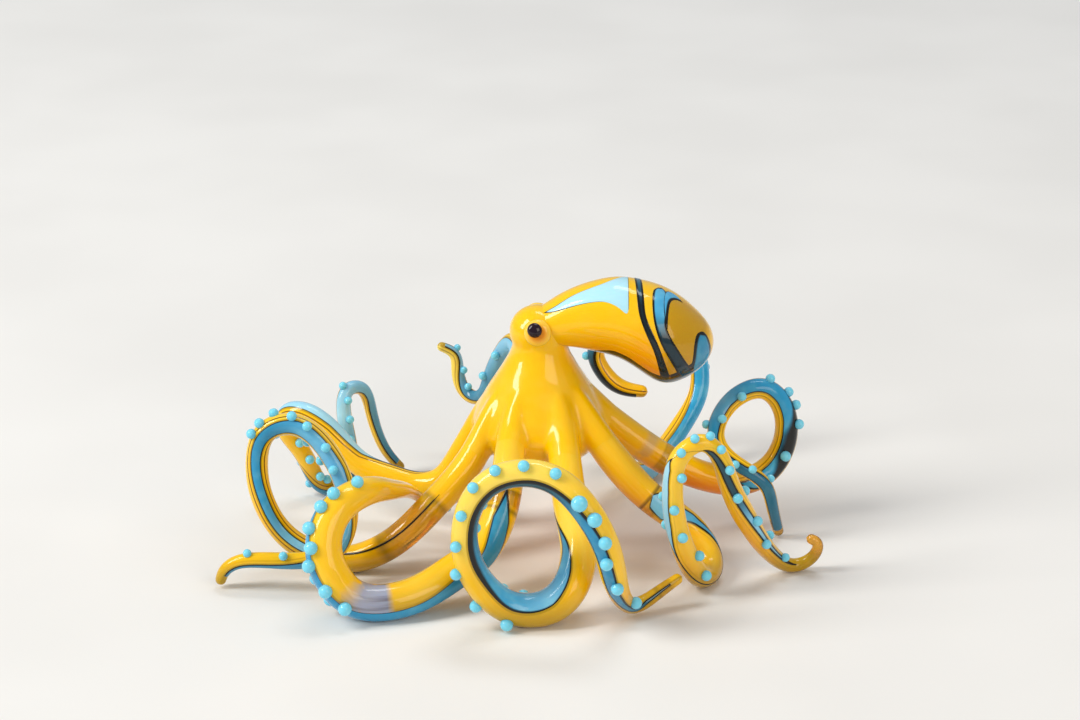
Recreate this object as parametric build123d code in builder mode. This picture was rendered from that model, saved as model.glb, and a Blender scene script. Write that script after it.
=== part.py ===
from build123d import *
import math
import os

# Octopus figurine of flame-worked glass, standing on its eight curled arms.
# The origin is on the table under the middle of the figurine's box, +Z is up,
# +X runs from the face to the tip of the mantle, and -Y is the side that is seen first.

# Driving sizes, in millimetres
span = 100.0
stand_height = 45.0
axis_x = 3.3
axis_y = 2.55
trunk_radius = 10.0
head_radius = 4.8
head_rise = 4.4
mantle_length = 28.6
mantle_radius = 8.0
casing = 0.6
arm_radius = 2.9
dot_radius = 0.85
dot_height = 0.75
dot_pitch = 2.2
eye_radius = 2.1
eye_rise = 1.5
eye_lean = 15.0
pupil_radius = 1.1
pupil_rise = 0.45
dot_seat = 0.3
flatness = 0.000001
station_pitch = 3.4
overrun = 4.0

# Counts and shape constants
hundred = 100
arm_sides = 10
trunk_sides = 24
head_sides = 20
mantle_sides = 20
dot_sides = 6
eye_sides = 12
height_per_span_share = 0.45

# Trunk levels: height in hundredths of the standing height, share of the trunk's radius
trunk_level_shares = [
    (33, 0.45), (36, 0.76), (41, 0.95), (47, 1.0), (53, 0.91),
    (60, 0.77), (67, 0.6), (73, 0.48), (79, 0.4),
]

# Head: middle, in hundredths of the span and of the standing height, and its levels
head_middle_shares = (-0.4, 0.0, 81.8)
head_level_shares = [
    (-0.97, 0.26), (-0.8, 0.6), (-0.45, 0.89), (0.0, 1.0), (0.45, 0.89), (0.8, 0.6), (0.97, 0.26),
]

# Dots and eye mounds: share of the rise, share of the radius
dot_level_shares = [(0.0, 1.0), (0.55, 0.84), (1.0, 0.32)]
mound_level_shares = [(-0.4, 0.98), (0.0, 1.0), (0.5, 0.86), (0.86, 0.52), (1.0, 0.2)]

# Mantle stations: share of its length, height in hundredths of the standing
# height, and share of the mantle's radius
mantle_station_shares = [
    (0.0, 83.0, 0.42), (0.1, 85.5, 0.53), (0.2, 87.0, 0.63), (0.31, 87.6, 0.73), (0.44, 87.2, 0.82),
    (0.56, 84.4, 0.93), (0.68, 80.8, 1.0), (0.79, 79.0, 0.89), (0.9, 78.0, 0.64), (0.97, 77.6, 0.36),
    (1.0, 77.5, 0.14),
]

# Outlines of the inlays on the mantle, seen from the side: share of the mantle's length, and
# height above or below the middle of that station, as share of the mantle's radius
saddle_outline_shares = [
    (-0.05, 0.34), (0.06, 0.32), (0.245, 0.42), (0.36, 0.48), (0.49, 0.38), (0.5, 0.7),
    (0.47, 1.5), (-0.05, 1.5),
]
first_band_outline_shares = [(0.46, 1.5), (0.505, 1.5), (0.785, -1.15), (0.74, -1.15)]
second_band_outline_shares = [
    (0.6, 1.5), (0.637, 0.6), (0.678, 0.13), (0.74, -0.31), (0.8, -0.52), (0.83, -1.15),
    (0.91, -1.15), (0.88, -0.52), (0.82, -0.31), (0.757, 0.13), (0.717, 0.6), (0.69, 1.5),
]
tip_spot_outline_shares = [
    (0.9, -0.06), (0.9, 0.18), (0.92, 0.33), (0.95, 0.31), (0.97, 0.15), (0.975, -0.11),
    (0.955, -0.27), (0.925, -0.25),
]
belly_outline_shares = [
    (0.3, -0.6), (0.4, -0.59), (0.49, -0.75), (0.6, -0.86), (0.66, -0.88), (0.66, -1.5), (0.3, -1.5),
]

# Each arm: a path from inside the trunk to the tip, in hundredths of the span;
# its thickness, as share of the path and share of the arm's radius; the side on
# which its inlaid strip lies, as share of the path and a direction; the share
# of the path where the strip starts; and its dots, as share of the path and the
# number of facets round from the strip.
arm_shares = {
    "front_right": dict(
        path=[(1.0, -2.4, 30.5), (2.7, -6.4, 26.4), (3.6, -9.2, 22.4), (4.2, -14.5, 18.0),
              (5.2, -22, 13.6), (6.1, -28.2, 9.9), (4.8, -31.9, 5.9), (1.9, -33.3, 3.3),
              (-1.8, -33.8, 2.6), (-5.6, -34.5, 4.2), (-9.2, -35.6, 8.6), (-11.4, -36.4, 13.4),
              (-11.6, -36.5, 18.8), (-10.0, -36.4, 23.4), (-6.6, -36.2, 26.5), (-1.6, -36.4, 27.5),
              (3.0, -37.4, 26.3), (6.8, -38.8, 22.8), (9.8, -39.2, 17.4), (11.2, -38.0, 12.0),
              (12.2, -35.6, 7.2), (15.0, -31.2, 2.1), (19.2, -28.8, 3.5), (22.6, -27.2, 5.3)],
        girth=[(0, 0.45), (0.06, 0.8), (0.13, 0.93), (0.33, 1.03), (0.45, 0.88), (0.58, 0.66),
               (0.72, 0.8), (0.84, 0.72), (0.92, 0.45), (1, 0.3)],
        side=[(0, (0, -1, 0.3)), (0.2, (-1, -0.4, -0.2)), (0.3, (-0.6, -0.3, 1)), (0.45, (1, -0.4, 0.3)),
              (0.55, (0.3, -0.4, -1)), (0.67, (-0.9, -0.6, -0.6)), (0.75, (-0.5, -1, -0.2)),
              (0.84, (-0.3, -1, -0.3)), (0.9, (-0.1, -1, -0.6)), (0.95, (0.4, -1, -0.1)),
              (1, (0.4, -1, 0.1))],
        strip_start=0.2,
        dots=[(0.367, -3), (0.397, -3), (0.43, -4), (0.48, -3), (0.515, -2), (0.555, -2), (0.585, -3),
              (0.615, -3), (0.648, -3), (0.682, -2), (0.722, -1), (0.748, -1), (0.776, -1), (0.801, 0),
              (0.842, -1), (0.904, -2)]),
    "front_left": dict(
        path=[(-1.4, -2.6, 30.5), (-3.2, -5.9, 26.8), (-4.4, -8.6, 22.8), (-5.0, -12.6, 19.8),
              (-5.4, -16.4, 16.4), (-7.0, -20.4, 11.4), (-9.9, -24, 7.8), (-13.8, -26.8, 5.8),
              (-19.2, -29.8, 3.6), (-25.4, -31.6, 2.8), (-30.2, -31.8, 4.2), (-33.4, -31.4, 8.8),
              (-34.0, -29.8, 13.2), (-31.8, -26.8, 17.2), (-27.6, -22.2, 17.9), (-24.4, -16.2, 15.4),
              (-22.0, -10.4, 12.6), (-20.0, -6.2, 9.4), (-17.4, -4.6, 7.3), (-14.8, -4.8, 7.9),
              (-13.4, -5.2, 9.2)],
        girth=[(0, 0.45), (0.075, 0.76), (0.17, 0.9), (0.325, 1.0), (0.56, 1.05), (0.7, 0.9), (0.8, 0.62),
               (0.92, 0.3), (1, 0.2)],
        side=[(0, (0, -1, 0.3)), (0.19, (0, -1, 0.1)), (0.42, (-0.2, -0.7, -0.8)),
              (0.58, (-0.9, -0.3, -0.5)), (0.7, (-1, 0.5, 0.2)), (0.84, (-0.2, 1, 0.6)),
              (0.93, (0, 0.6, 1)), (1, (-0.4, 0.4, 1))],
        strip_start=0.2,
        dots=[(0.433, 0), (0.469, 0), (0.526, 1), (0.558, 1), (0.591, 1), (0.633, 2), (0.677, 2),
              (0.71, 3), (0.965, 4)]),
    "left": dict(
        path=[(-2.6, -1.5, 30.5), (-6.4, -3.6, 25.6), (-9.6, -5.2, 19.2), (-13.2, -8.0, 14.2),
              (-17.4, -11.0, 10.4), (-22.2, -13.8, 6.4), (-27.2, -15.0, 3.5), (-32.4, -14.6, 2.1),
              (-37.8, -13.8, 3.1), (-42.4, -13.0, 6.4), (-45.3, -12.8, 12.0), (-46.1, -12.8, 18.0),
              (-44.6, -12.8, 23.8), (-41.0, -12.8, 25.5), (-37.2, -13.4, 24.4), (-33.6, -14.6, 20.2),
              (-31.5, -16.4, 15.7), (-31.0, -18.4, 10.8), (-32.8, -20.6, 7.0), (-36.8, -21.8, 5.6),
              (-42.4, -21.8, 5.4), (-48.6, -21.4, 5.0), (-51.2, -21.0, 3.0), (-52.0, -20.6, 0.6)],
        girth=[(0, 0.42), (0.07, 0.76), (0.15, 0.86), (0.32, 0.84), (0.45, 0.64), (0.7, 0.6), (0.82, 0.5),
               (0.93, 0.44), (1, 0.3)],
        side=[(0, (-0.4, -1, 0.3)), (0.2, (-0.2, -1, 0.5)), (0.38, (0.2, -0.8, 1)), (0.5, (1, -0.9, 0.1)),
              (0.58, (0.2, -0.9, -1)), (0.68, (-1, -0.9, -0.2)), (0.76, (-0.6, -0.8, 0.2)),
              (0.79, (-0.3, -0.9, 0.5)), (0.82, (0.3, -0.9, 0.3)), (0.85, (0.2, -1, -0.2)),
              (0.88, (0, -0.8, -0.6)), (0.92, (0, -0.6, -0.8)), (1, (0.8, -0.6, -0.4))],
        strip_start=0.2,
        dots=[(0.44, -3), (0.47, -3), (0.5, -3), (0.53, -3), (0.56, -3), (0.588, -3), (0.612, -4),
              (0.633, -3), (0.652, -2), (0.685, -2), (0.717, -1), (0.895, 3), (0.94, 3)]),
    "back_left": dict(
        path=[(-3.0, 0.6, 30.5), (-7.2, 1.4, 24.6), (-10.4, 1.6, 19.0), (-13.4, 1.4, 13.4),
              (-16.4, 1.8, 9.0), (-20.6, 3.0, 7.4), (-25.4, 4.4, 8.2), (-30.8, 5.9, 10.2),
              (-35.2, 7.4, 14.8), (-39.4, 9.0, 17.8), (-42.9, 10.9, 17.2), (-43.6, 12.4, 13.6),
              (-41.6, 13.2, 9.8), (-39.6, 13.9, 5.2), (-38.3, 14.4, 2.6), (-36.3, 15.0, 1.5),
              (-34.3, 15.8, 2.6), (-33.2, 16.4, 5.6), (-33.4, 17.0, 10.0), (-34.1, 17.9, 14.6),
              (-33.5, 19.4, 17.9), (-31.1, 21.4, 17.4), (-29.5, 22.4, 12.0), (-27.4, 22.8, 5.4),
              (-24.4, 23.8, 0.9)],
        girth=[(0, 0.42), (0.08, 0.74), (0.2, 0.82), (0.36, 0.72), (0.6, 0.54), (0.8, 0.44), (1, 0.3)],
        side=[(0, (-0.4, -1, 0.3)), (0.2, (0.2, -0.5, 1)), (0.36, (-0.2, -0.6, 1)),
              (0.46, (-0.8, -0.8, 0.3)), (0.58, (-0.8, -0.6, -0.5)), (0.7, (0.4, -1, -0.2)),
              (0.85, (0.8, -0.6, 0.5)), (1, (0.9, -0.4, 0.5))],
        strip_start=0.2,
        dots=[(0.44, -3), (0.475, -3), (0.51, -3), (0.551, -3), (0.583, -2), (0.616, -2), (0.68, -1),
              (0.742, 0), (0.77, 0), (0.8, 0), (0.83, -2)]),
    "back": dict(
        path=[(-1.0, 2.8, 30.5), (-2.0, 6.4, 25.8), (-3.2, 10.8, 20.4), (-4.2, 15.6, 17.8),
              (-3.8, 20.4, 19.8), (-3.4, 24.6, 23.2), (-4.8, 28.2, 23.4), (-7.4, 30.2, 19.2),
              (-9.0, 31.3, 14.8), (-10.1, 32.1, 12.0), (-12.0, 33.5, 10.8), (-13.9, 34.9, 12.0),
              (-14.8, 35.8, 15.0), (-15.4, 36.2, 18.0), (-18.4, 36.0, 19.8)],
        girth=[(0, 0.42), (0.1, 0.74), (0.3, 0.78), (0.55, 0.62), (0.75, 0.46), (0.88, 0.42), (1, 0.28)],
        side=[(0, (-1, -0.2, 0)), (0.2, (-1, -0.2, 0)), (0.45, (-1, -0.3, -0.1)),
              (0.52, (-0.9, -0.4, -0.4)), (0.58, (-0.5, -0.8, -0.1)), (0.7, (-0.4, -0.9, 0.1)),
              (0.8, (-0.3, -0.5, 0.7)), (0.86, (0.5, -0.8, 0.4)), (0.92, (0.8, -0.4, 0.2)),
              (1, (0.5, -0.5, 0.9))],
        strip_start=0.2,
        dots=[(0.45, 3), (0.5, 2), (0.55, 1), (0.597, 0), (0.683, 1), (0.829, 1), (0.896, 0), (0.949, 1)]),
    "back_right": dict(
        path=[(1.6, 2.2, 30.5), (4.2, 5.2, 25.4), (7.2, 8.8, 19.6), (10.4, 12.4, 13.0), (13.4, 15.8, 6.8),
              (16.6, 19.2, 1.9), (20.8, 22.8, 3.5), (25.0, 26.4, 8.2), (28.0, 29.8, 12.6),
              (28.4, 31.8, 17.4), (26.6, 33.0, 22.4), (22.4, 33.5, 24.9), (17.0, 33.5, 25.4),
              (12.4, 33.2, 23.8), (10.0, 32.4, 20.4), (11.0, 31.6, 17.0), (14.2, 30.9, 14.0),
              (19.2, 30.2, 13.2)],
        girth=[(0, 0.42), (0.1, 0.76), (0.3, 0.78), (0.55, 0.6), (0.8, 0.48), (1, 0.28)],
        side=[(0, (0.5, 0.5, 0.8)), (0.25, (0.8, -0.2, 1)), (0.5, (1, -0.8, -0.2)),
              (0.62, (0.4, -0.8, 1)), (0.78, (-1, -0.6, 0.4)), (0.9, (-0.6, -0.7, -0.8)),
              (1, (0, -0.7, -1))],
        strip_start=0.26,
        dots=[(0.55, 4), (0.6, 4), (0.65, 4), (0.7, 3), (0.75, 3), (0.8, 3), (0.84, 2), (0.876, 1)]),
    "right": dict(
        path=[(3.0, 0.3, 30.5), (6.4, 0.8, 26.2), (10.0, 1.0, 21.8), (15.0, 1.0, 17.4), (20.4, 0.8, 13.6),
              (26.0, 1.0, 10.6), (31.6, 2.2, 8.6), (36.2, 3.8, 8.3), (39.8, 5.2, 10.6), (41.7, 6.1, 15.2),
              (41.0, 6.4, 20.4), (37.8, 6.0, 23.8), (33.8, 5.2, 23.2), (30.6, 3.6, 20.4),
              (29.5, 0.8, 17.6), (31.0, -2.4, 15.4), (34.6, -3.9, 13.2), (37.6, -4.2, 10.6),
              (38.8, -4.0, 7.0), (40.4, -1.8, 0.5)],
        girth=[(0, 0.45), (0.08, 0.8), (0.16, 0.92), (0.38, 0.86), (0.52, 0.7), (0.68, 0.56),
               (0.85, 0.44), (1, 0.3)],
        side=[(0, (0.3, -1, 0.3)), (0.3, (0.2, -0.8, 1)), (0.45, (0.6, -1, -0.3)),
              (0.55, (0.9, -0.8, 0.3)), (0.66, (-0.2, -0.7, 1)), (0.78, (-1, -0.7, 0.2)),
              (0.88, (0.3, -0.9, 0.6)), (1, (0.5, -0.9, 0.2))],
        strip_start=0.38,
        dots=[(0.493, -1), (0.546, 1), (0.572, 1), (0.594, 2), (0.626, 1), (0.672, -1), (0.705, -2),
              (0.732, -2), (0.77, -2), (0.826, 0), (0.851, -1), (0.885, -2)]),
    "right_front": dict(
        path=[(2.5, -1.9, 30.5), (5.8, -4.4, 26.2), (9.0, -6.8, 21.4), (12.7, -9.4, 17.0),
              (16.4, -11.4, 13.4), (20.2, -12.4, 10.4), (24.2, -13.2, 7.6), (27.0, -15.0, 4.6),
              (27.7, -18.0, 2.2), (26.0, -21.4, 2.6), (23.6, -23.6, 7.0), (21.5, -24.6, 14.2),
              (21.1, -24.4, 21.0), (22.4, -23.8, 25.0), (25.6, -23.1, 26.7), (28.4, -22.5, 24.2),
              (30.2, -21.8, 19.0), (32.6, -20.6, 13.4), (35.4, -18.9, 8.0), (38.6, -16.4, 3.2),
              (41.8, -14.9, 1.15), (44.8, -14.8, 2.7), (45.4, -15.0, 5.2), (43.6, -15.0, 6.2)],
        girth=[(0, 0.45), (0.08, 0.78), (0.15, 0.92), (0.28, 0.84), (0.38, 0.72), (0.55, 0.58),
               (0.66, 0.48), (0.78, 0.68), (0.88, 0.5), (0.95, 0.34), (1, 0.28)],
        side=[(0, (0.2, -1, 0.3)), (0.24, (0.2, -0.8, 0.8)), (0.3, (0.5, -0.6, 0.6)), (0.36, (1, 0, 0.1)),
              (0.39, (0.7, -0.5, -0.4)), (0.42, (0, -0.9, -0.5)), (0.46, (-0.6, -0.6, -0.3)),
              (0.56, (-1, -0.4, 0.2)), (0.66, (0, -0.4, 1)), (0.76, (1, -0.4, 0.5)),
              (0.9, (0.6, -0.3, 0.7)), (0.93, (0, -0.5, 1)), (0.96, (-0.7, -0.6, 0.4)),
              (1, (-0.3, -0.5, -0.8))],
        strip_start=0.24,
        dots=[(0.418, 2), (0.452, 3), (0.493, 2), (0.536, 2), (0.583, 3), (0.615, 1), (0.64, 0),
              (0.668, 1), (0.7, 1), (0.745, 2), (0.796, 1), (0.841, 1), (0.894, 1)]),
}


def place(x_share, y_share, z_share):
    """A point of an arm, from hundredths of the span and of the matching height."""
    rise = stand_height / height_per_span_share
    return Vector(axis_x + x_share * span / hundred,
                  axis_y + y_share * span / hundred,
                  z_share * rise / hundred)


def level(height_share):
    """A height above the table, from hundredths of the standing height."""
    return height_share * stand_height / hundred


def between(table, share):
    """The value of a table of (share, number) or (share, direction) rows at one share."""
    for (low, first), (high, second) in zip(table, table[1:]):
        if share <= high:
            part = (share - low) / (high - low)
            if isinstance(first, tuple):
                return tuple(a + (b - a) * part for a, b in zip(first, second))
            return first + (second - first) * part
    return table[-1][1]


def ring_corners(sides, turn=0.5):
    """The corners of a regular ring with radius 1, the first one half a side past the X axis."""
    steps = [2 * math.pi * (index + turn) / sides for index in range(sides)]
    return [(math.cos(angle), math.sin(angle)) for angle in steps]


def arm_planes(row):
    """Planes square to an arm's path, with X towards its strip, and the radius at each."""
    with BuildLine() as path:
        Spline(*[place(*point) for point in row["path"]])
    curve = path.edges()[0]
    count = round(curve.length / station_pitch)
    planes = []
    for index in range(count + 1):
        share = index / count
        along = curve % share
        towards = Vector(*between(row["side"], share))
        across = towards - along * towards.dot(along)
        planes.append((share, Plane(origin=curve @ share, x_dir=across, z_dir=along),
                       arm_radius * between(row["girth"], share)))
    return planes


def flat_facets(first, second, third, fourth):
    """One flat facet through four corners, or two that share the shorter diagonal."""
    corners = [first, second, third, fourth]
    across = (third - first).cross(fourth - second)
    lean = abs((second - first).dot(across.normalized()))
    if lean < flatness:
        return [Face(Wire.make_polygon(corners))]
    if (third - first).length <= (fourth - second).length:
        halves = [[first, second, third], [first, third, fourth]]
    else:
        halves = [[first, second, fourth], [second, third, fourth]]
    return [Face(Wire.make_polygon(half)) for half in halves]


def skinned(rings):
    """A closed solid of flat facets through rings of corners, with a flat cap at each end."""
    faces = [Face(Wire.make_polygon(rings[0])), Face(Wire.make_polygon(rings[-1]))]
    for lower, upper in zip(rings, rings[1:]):
        for index in range(len(lower)):
            after = (index + 1) % len(lower)
            faces += flat_facets(lower[index], lower[after], upper[after], upper[index])
    return Solid(Shell(faces))


def ring_on(plane, radius, corners):
    """Corners of a unit ring, brought to a radius and laid on a plane."""
    return [plane.from_local_coords(Vector(x * radius, y * radius, 0)) for x, y in corners]


def turned(level_table, origin, axis_rise, radius, sides, x_dir=(1, 0, 0), z_dir=(0, 0, 1)):
    """A turned form of flat facets, from levels of (share of the rise, share of the radius) along an axis."""
    base = Plane(origin=origin, x_dir=x_dir, z_dir=z_dir)
    corners = ring_corners(sides)
    return skinned([ring_on(base.offset(axis_rise * rise), radius * share, corners)
                    for rise, share in level_table])


def dots_on(planes, rows):
    """A dot for each (share, facet) row, seated on that facet of the arm, and its twin across the strip.

    A dot is left out where another is nearer than the dots' pitch, or where it would reach the table."""
    side_angle = 2 * math.pi / arm_sides
    apothem_share = math.cos(side_angle / 2)
    feet, solids = [], []
    for share, facet in rows + [(share, -facet) for share, facet in rows]:
        lower = min(int(share * (len(planes) - 1)), len(planes) - 2)
        (_, start, start_radius), (_, end, end_radius) = planes[lower], planes[lower + 1]
        turn = facet * side_angle
        ends = [plane.from_local_coords(Vector(radius * apothem_share * math.cos(turn),
                                               radius * apothem_share * math.sin(turn), 0))
                for plane, radius in ((start, start_radius), (end, end_radius))]
        along = ends[1] - ends[0]
        middle = ends[0] + along / 2
        centre = (start.origin + end.origin) / 2
        outward = (middle - centre) - along.normalized() * (middle - centre).dot(along.normalized())
        outward = outward.normalized()
        if middle.Z < dot_pitch / 2 or any((middle - foot).length < dot_pitch for foot in feet):
            continue
        feet.append(middle)
        solids.append(turned(dot_level_shares, middle + outward * dot_seat, dot_height, dot_radius, dot_sides,
                             x_dir=along, z_dir=outward))
    return solids


def above_middle(length_share, radius_share):
    """A corner of an inlay's outline, from shares of the mantle's length and radius."""
    middle = level(between([(row[0], row[1]) for row in mantle_station_shares], max(length_share, 0)))
    return axis_x + mantle_length * length_share, middle + mantle_radius * radius_share


os.makedirs("parts", exist_ok=True)

# Trunk: the cone of opaque glass that carries the arms and the head
with BuildPart() as trunk:
    add(turned([(height / hundred, share) for height, share in trunk_level_shares],
               (axis_x, axis_y, 0), stand_height, trunk_radius, trunk_sides))

trunk.part.label = "trunk"
export_step(trunk.part, "parts/trunk.step")

# Head: a flattened ball on the neck
head_x = axis_x + head_middle_shares[0] * span / hundred
head_z = level(head_middle_shares[2])
with BuildPart() as head:
    add(turned(head_level_shares, (head_x, axis_y, head_z), head_rise, head_radius, head_sides))
    add(trunk.part, mode=Mode.SUBTRACT)

# Mantle: the pear-shaped bag behind the head, and the thickness of its casing
mantle_solids = []
for shrink in (0.0, casing):
    rings = []
    for along_share, height_share, radius_share in mantle_station_shares:
        station = Plane(origin=(axis_x + mantle_length * along_share, axis_y, level(height_share)),
                        x_dir=(0, 1, 0), z_dir=(1, 0, 0))
        section = max(mantle_radius * radius_share - shrink, casing)
        rings.append(ring_on(station, section, ring_corners(mantle_sides)))
    mantle_solids.append(skinned(rings))
mantle_skin, mantle_heart = mantle_solids

inlay_outline_shares = {
    "saddle_patch": saddle_outline_shares,
    "first_band": first_band_outline_shares,
    "second_band": second_band_outline_shares,
    "tip_spot": tip_spot_outline_shares,
    "belly_patch": belly_outline_shares,
}
inlays = {}
for name, outline in inlay_outline_shares.items():
    with BuildPart() as inlay:
        with BuildSketch(Plane.XZ.offset(-axis_y)):
            Polygon(*[above_middle(*corner) for corner in outline], align=None)
        extrude(amount=mantle_radius + overrun, both=name != "tip_spot")
        add(mantle_skin, mode=Mode.INTERSECT)
        add(mantle_heart, mode=Mode.SUBTRACT)
        add(head.part, mode=Mode.SUBTRACT)
        add(trunk.part, mode=Mode.SUBTRACT)
    inlay.part.label = name
    inlays[name] = inlay.part
    export_step(inlay.part, f"parts/{name}.step")

with BuildPart() as mantle:
    add(mantle_skin)
    add(head.part, mode=Mode.SUBTRACT)
    add(trunk.part, mode=Mode.SUBTRACT)
    for piece in inlays.values():
        add(piece, mode=Mode.SUBTRACT)

mantle.part.label = "mantle"
export_step(mantle.part, "parts/mantle.step")

# Eyes: a mound of glass on each side of the head, with a dark pupil set in it
for name, side in (("near", -1), ("far", 1)):
    lean = math.radians(eye_lean)
    outward = Vector(0, side * math.cos(lean), math.sin(lean))
    seat = Vector(head_x, axis_y, head_z) + outward * (head_radius - eye_rise / 2)
    with BuildPart() as mound:
        add(turned(mound_level_shares, seat, eye_rise, eye_radius, eye_sides, z_dir=outward))
        add(head.part, mode=Mode.SUBTRACT)
        add(mantle.part, mode=Mode.SUBTRACT)
        add(inlays["saddle_patch"], mode=Mode.SUBTRACT)
    with BuildPart() as pupil:
        add(turned(mound_level_shares, seat + outward * eye_rise, pupil_rise, pupil_radius, eye_sides,
                   z_dir=outward))
        add(mound.part, mode=Mode.SUBTRACT)
    mound.part.label = f"{name}_eye_mound"
    export_step(mound.part, f"parts/{name}_eye_mound.step")
    pupil.part.label = f"{name}_pupil"
    export_step(pupil.part, f"parts/{name}_pupil.step")

head.part.label = "head"
export_step(head.part, "parts/head.step")

# Arms: a root drawn out of the trunk, a core, the strip laid into it, and two rows of dots
full_ring = ring_corners(arm_sides)
core_ring = full_ring[1:arm_sides - 1]
strip_ring = full_ring[arm_sides - 2:] + full_ring[:2]
for name, row in arm_shares.items():
    planes = arm_planes(row)
    first_strip = next(index for index, item in enumerate(planes) if item[0] >= row["strip_start"])
    with BuildPart() as root:
        add(skinned([ring_on(plane, radius, full_ring) for _, plane, radius in planes[:first_strip + 1]]))
        add(trunk.part, mode=Mode.SUBTRACT)
    with BuildPart() as core:
        add(skinned([ring_on(plane, radius, core_ring) for _, plane, radius in planes[first_strip:]]))
        split(bisect_by=Plane.XY, keep=Keep.TOP)
    with BuildPart() as strip:
        add(skinned([ring_on(plane, radius, strip_ring) for _, plane, radius in planes[first_strip:]]))
        split(bisect_by=Plane.XY, keep=Keep.TOP)
    with BuildPart() as dots:
        add(dots_on(planes, row["dots"]))

    for piece, kind in ((root.part, "root"), (core.part, "core"), (strip.part, "strip"), (dots.part, "dots")):
        piece.label = f"{name}_arm_{kind}"
        export_step(piece, f"parts/{name}_arm_{kind}.step")
        print(piece.label, len(piece.solids()), round(piece.volume, 1))
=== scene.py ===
# %% [markdown]
# # An octopus drawn from hot glass
# The real figurine is flame-worked: a cone of golden glass is pulled into eight legs, each leg
# gets a turquoise ribbon melted along it and a row of pale drops, and a pear-shaped bag is
# hung behind the head. Everything here is a surface worked out as a grid of points, because
# glass that has flowed is smooth in both directions and a grid keeps that smoothness.

# %% Load the frame
import math
import bpy
import numpy as np
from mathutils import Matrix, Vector


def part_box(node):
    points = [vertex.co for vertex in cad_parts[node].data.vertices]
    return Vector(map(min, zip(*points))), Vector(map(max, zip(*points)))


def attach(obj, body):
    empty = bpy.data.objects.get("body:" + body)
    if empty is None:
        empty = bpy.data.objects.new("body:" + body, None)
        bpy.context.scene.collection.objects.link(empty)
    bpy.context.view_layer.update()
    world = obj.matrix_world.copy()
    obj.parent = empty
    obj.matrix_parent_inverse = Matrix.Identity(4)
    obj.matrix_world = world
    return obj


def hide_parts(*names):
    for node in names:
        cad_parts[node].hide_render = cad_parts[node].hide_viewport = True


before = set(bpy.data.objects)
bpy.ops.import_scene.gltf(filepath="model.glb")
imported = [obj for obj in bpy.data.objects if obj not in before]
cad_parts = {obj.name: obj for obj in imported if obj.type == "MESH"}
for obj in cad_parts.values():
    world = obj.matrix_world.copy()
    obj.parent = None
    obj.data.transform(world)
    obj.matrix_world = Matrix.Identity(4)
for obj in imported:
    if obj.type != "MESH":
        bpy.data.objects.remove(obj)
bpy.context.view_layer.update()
print("nodes in the frame:", len(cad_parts))

# %% [markdown]
# ## Where the figurine stands
# The trunk is turned about an upright axis, so the middle of its box gives that axis. All
# routes below are written in millimetres from the foot of this axis, as a maker would
# measure them on the bench, and become metres in one place.

# %% Units and the trunk's axis
MM = 0.001
trunk_low, trunk_high = (np.array(corner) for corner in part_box("trunk"))
AXIS = np.array([(trunk_low[0] + trunk_high[0]) / 2, (trunk_low[1] + trunk_high[1]) / 2, 0.0])
ROD = 2.9 * MM


def bench(point):
    """A place in millimetres from the foot of the trunk's axis, as metres in the frame."""
    return AXIS + np.asarray(point, float) * MM


print("trunk axis in millimetres:", (AXIS / MM).round(2))

# %% [markdown]
# ## A smooth route through a few points
# Soft glass bends as evenly as a thin spring, and a natural cubic spline is the curve such a
# spring takes through fixed points. Spacing its knots by the square root of the distance
# keeps it from overshooting where a long run meets a tight curl.

# %% Circles, runs and the natural spline
EASING = 13


def circle(count):
    """Angles at even steps round a circle."""
    return np.linspace(0, 2 * math.pi, count, endpoint=False)


def run_along(points):
    """The distance along a line of points, from 0 at the first."""
    return np.concatenate([[0], np.cumsum(np.linalg.norm(np.diff(points, axis=0), axis=1))])


def evenly(points, count):
    """Points at even distances along a line of points."""
    run = run_along(points)
    wanted = np.linspace(0, run[-1], count)
    return np.stack([np.interp(wanted, run, column) for column in points.T], axis=1)


def turned(profile, middle, line, start, sides):
    """Rings of a form turned about a line through its middle, from rows of (height, radius).
    A ring is the cosine of one direction square to the line plus the sine of another."""
    side = np.cross(line, start)
    side = side / np.linalg.norm(side)
    angle = circle(sides)[:, None]
    ring = np.cos(angle) * side + np.sin(angle) * np.cross(line, side)
    height, radius = profile.T[..., None, None]
    return middle + radius * ring + height * line


def spring_curve(knots, values, places):
    """Natural cubic spline: the second derivatives come from one linear system in which each
    inner knot balances its two spans, and each span is then a cubic between its two ends."""
    gaps = np.diff(knots)
    slopes = np.diff(values, axis=0) / gaps[:, None]
    system = np.eye(len(knots))
    inner = np.arange(1, len(knots) - 1)
    system[inner, inner - 1], system[inner, inner + 1] = gaps[:-1], gaps[1:]
    system[inner, inner] = 2 * (gaps[:-1] + gaps[1:])
    pull = np.zeros_like(values)
    pull[1:-1] = 6 * np.diff(slopes, axis=0)
    bend = np.linalg.solve(system, pull)
    span = np.clip(np.searchsorted(knots, places) - 1, 0, len(gaps) - 1)
    gap = gaps[span][:, None]
    after = (places - knots[span])[:, None]
    before = gap - after
    cubic = (bend[span] * before ** 3 + bend[span + 1] * after ** 3) / (6 * gap)
    lines = (values[span] / gap - bend[span] * gap / 6) * before
    return cubic + lines + (values[span + 1] / gap - bend[span + 1] * gap / 6) * after


def even_route(points, count):
    """Points at even distances along the spring curve, and its length."""
    points = np.asarray(points, float)
    steps = np.linalg.norm(np.diff(points, axis=0), axis=1)
    knots = np.concatenate([[0], np.cumsum(np.sqrt(steps))])
    fine = spring_curve(knots, points, np.linspace(0, knots[-1], 12 * count))
    return evenly(fine, count), run_along(fine)[-1]


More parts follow.
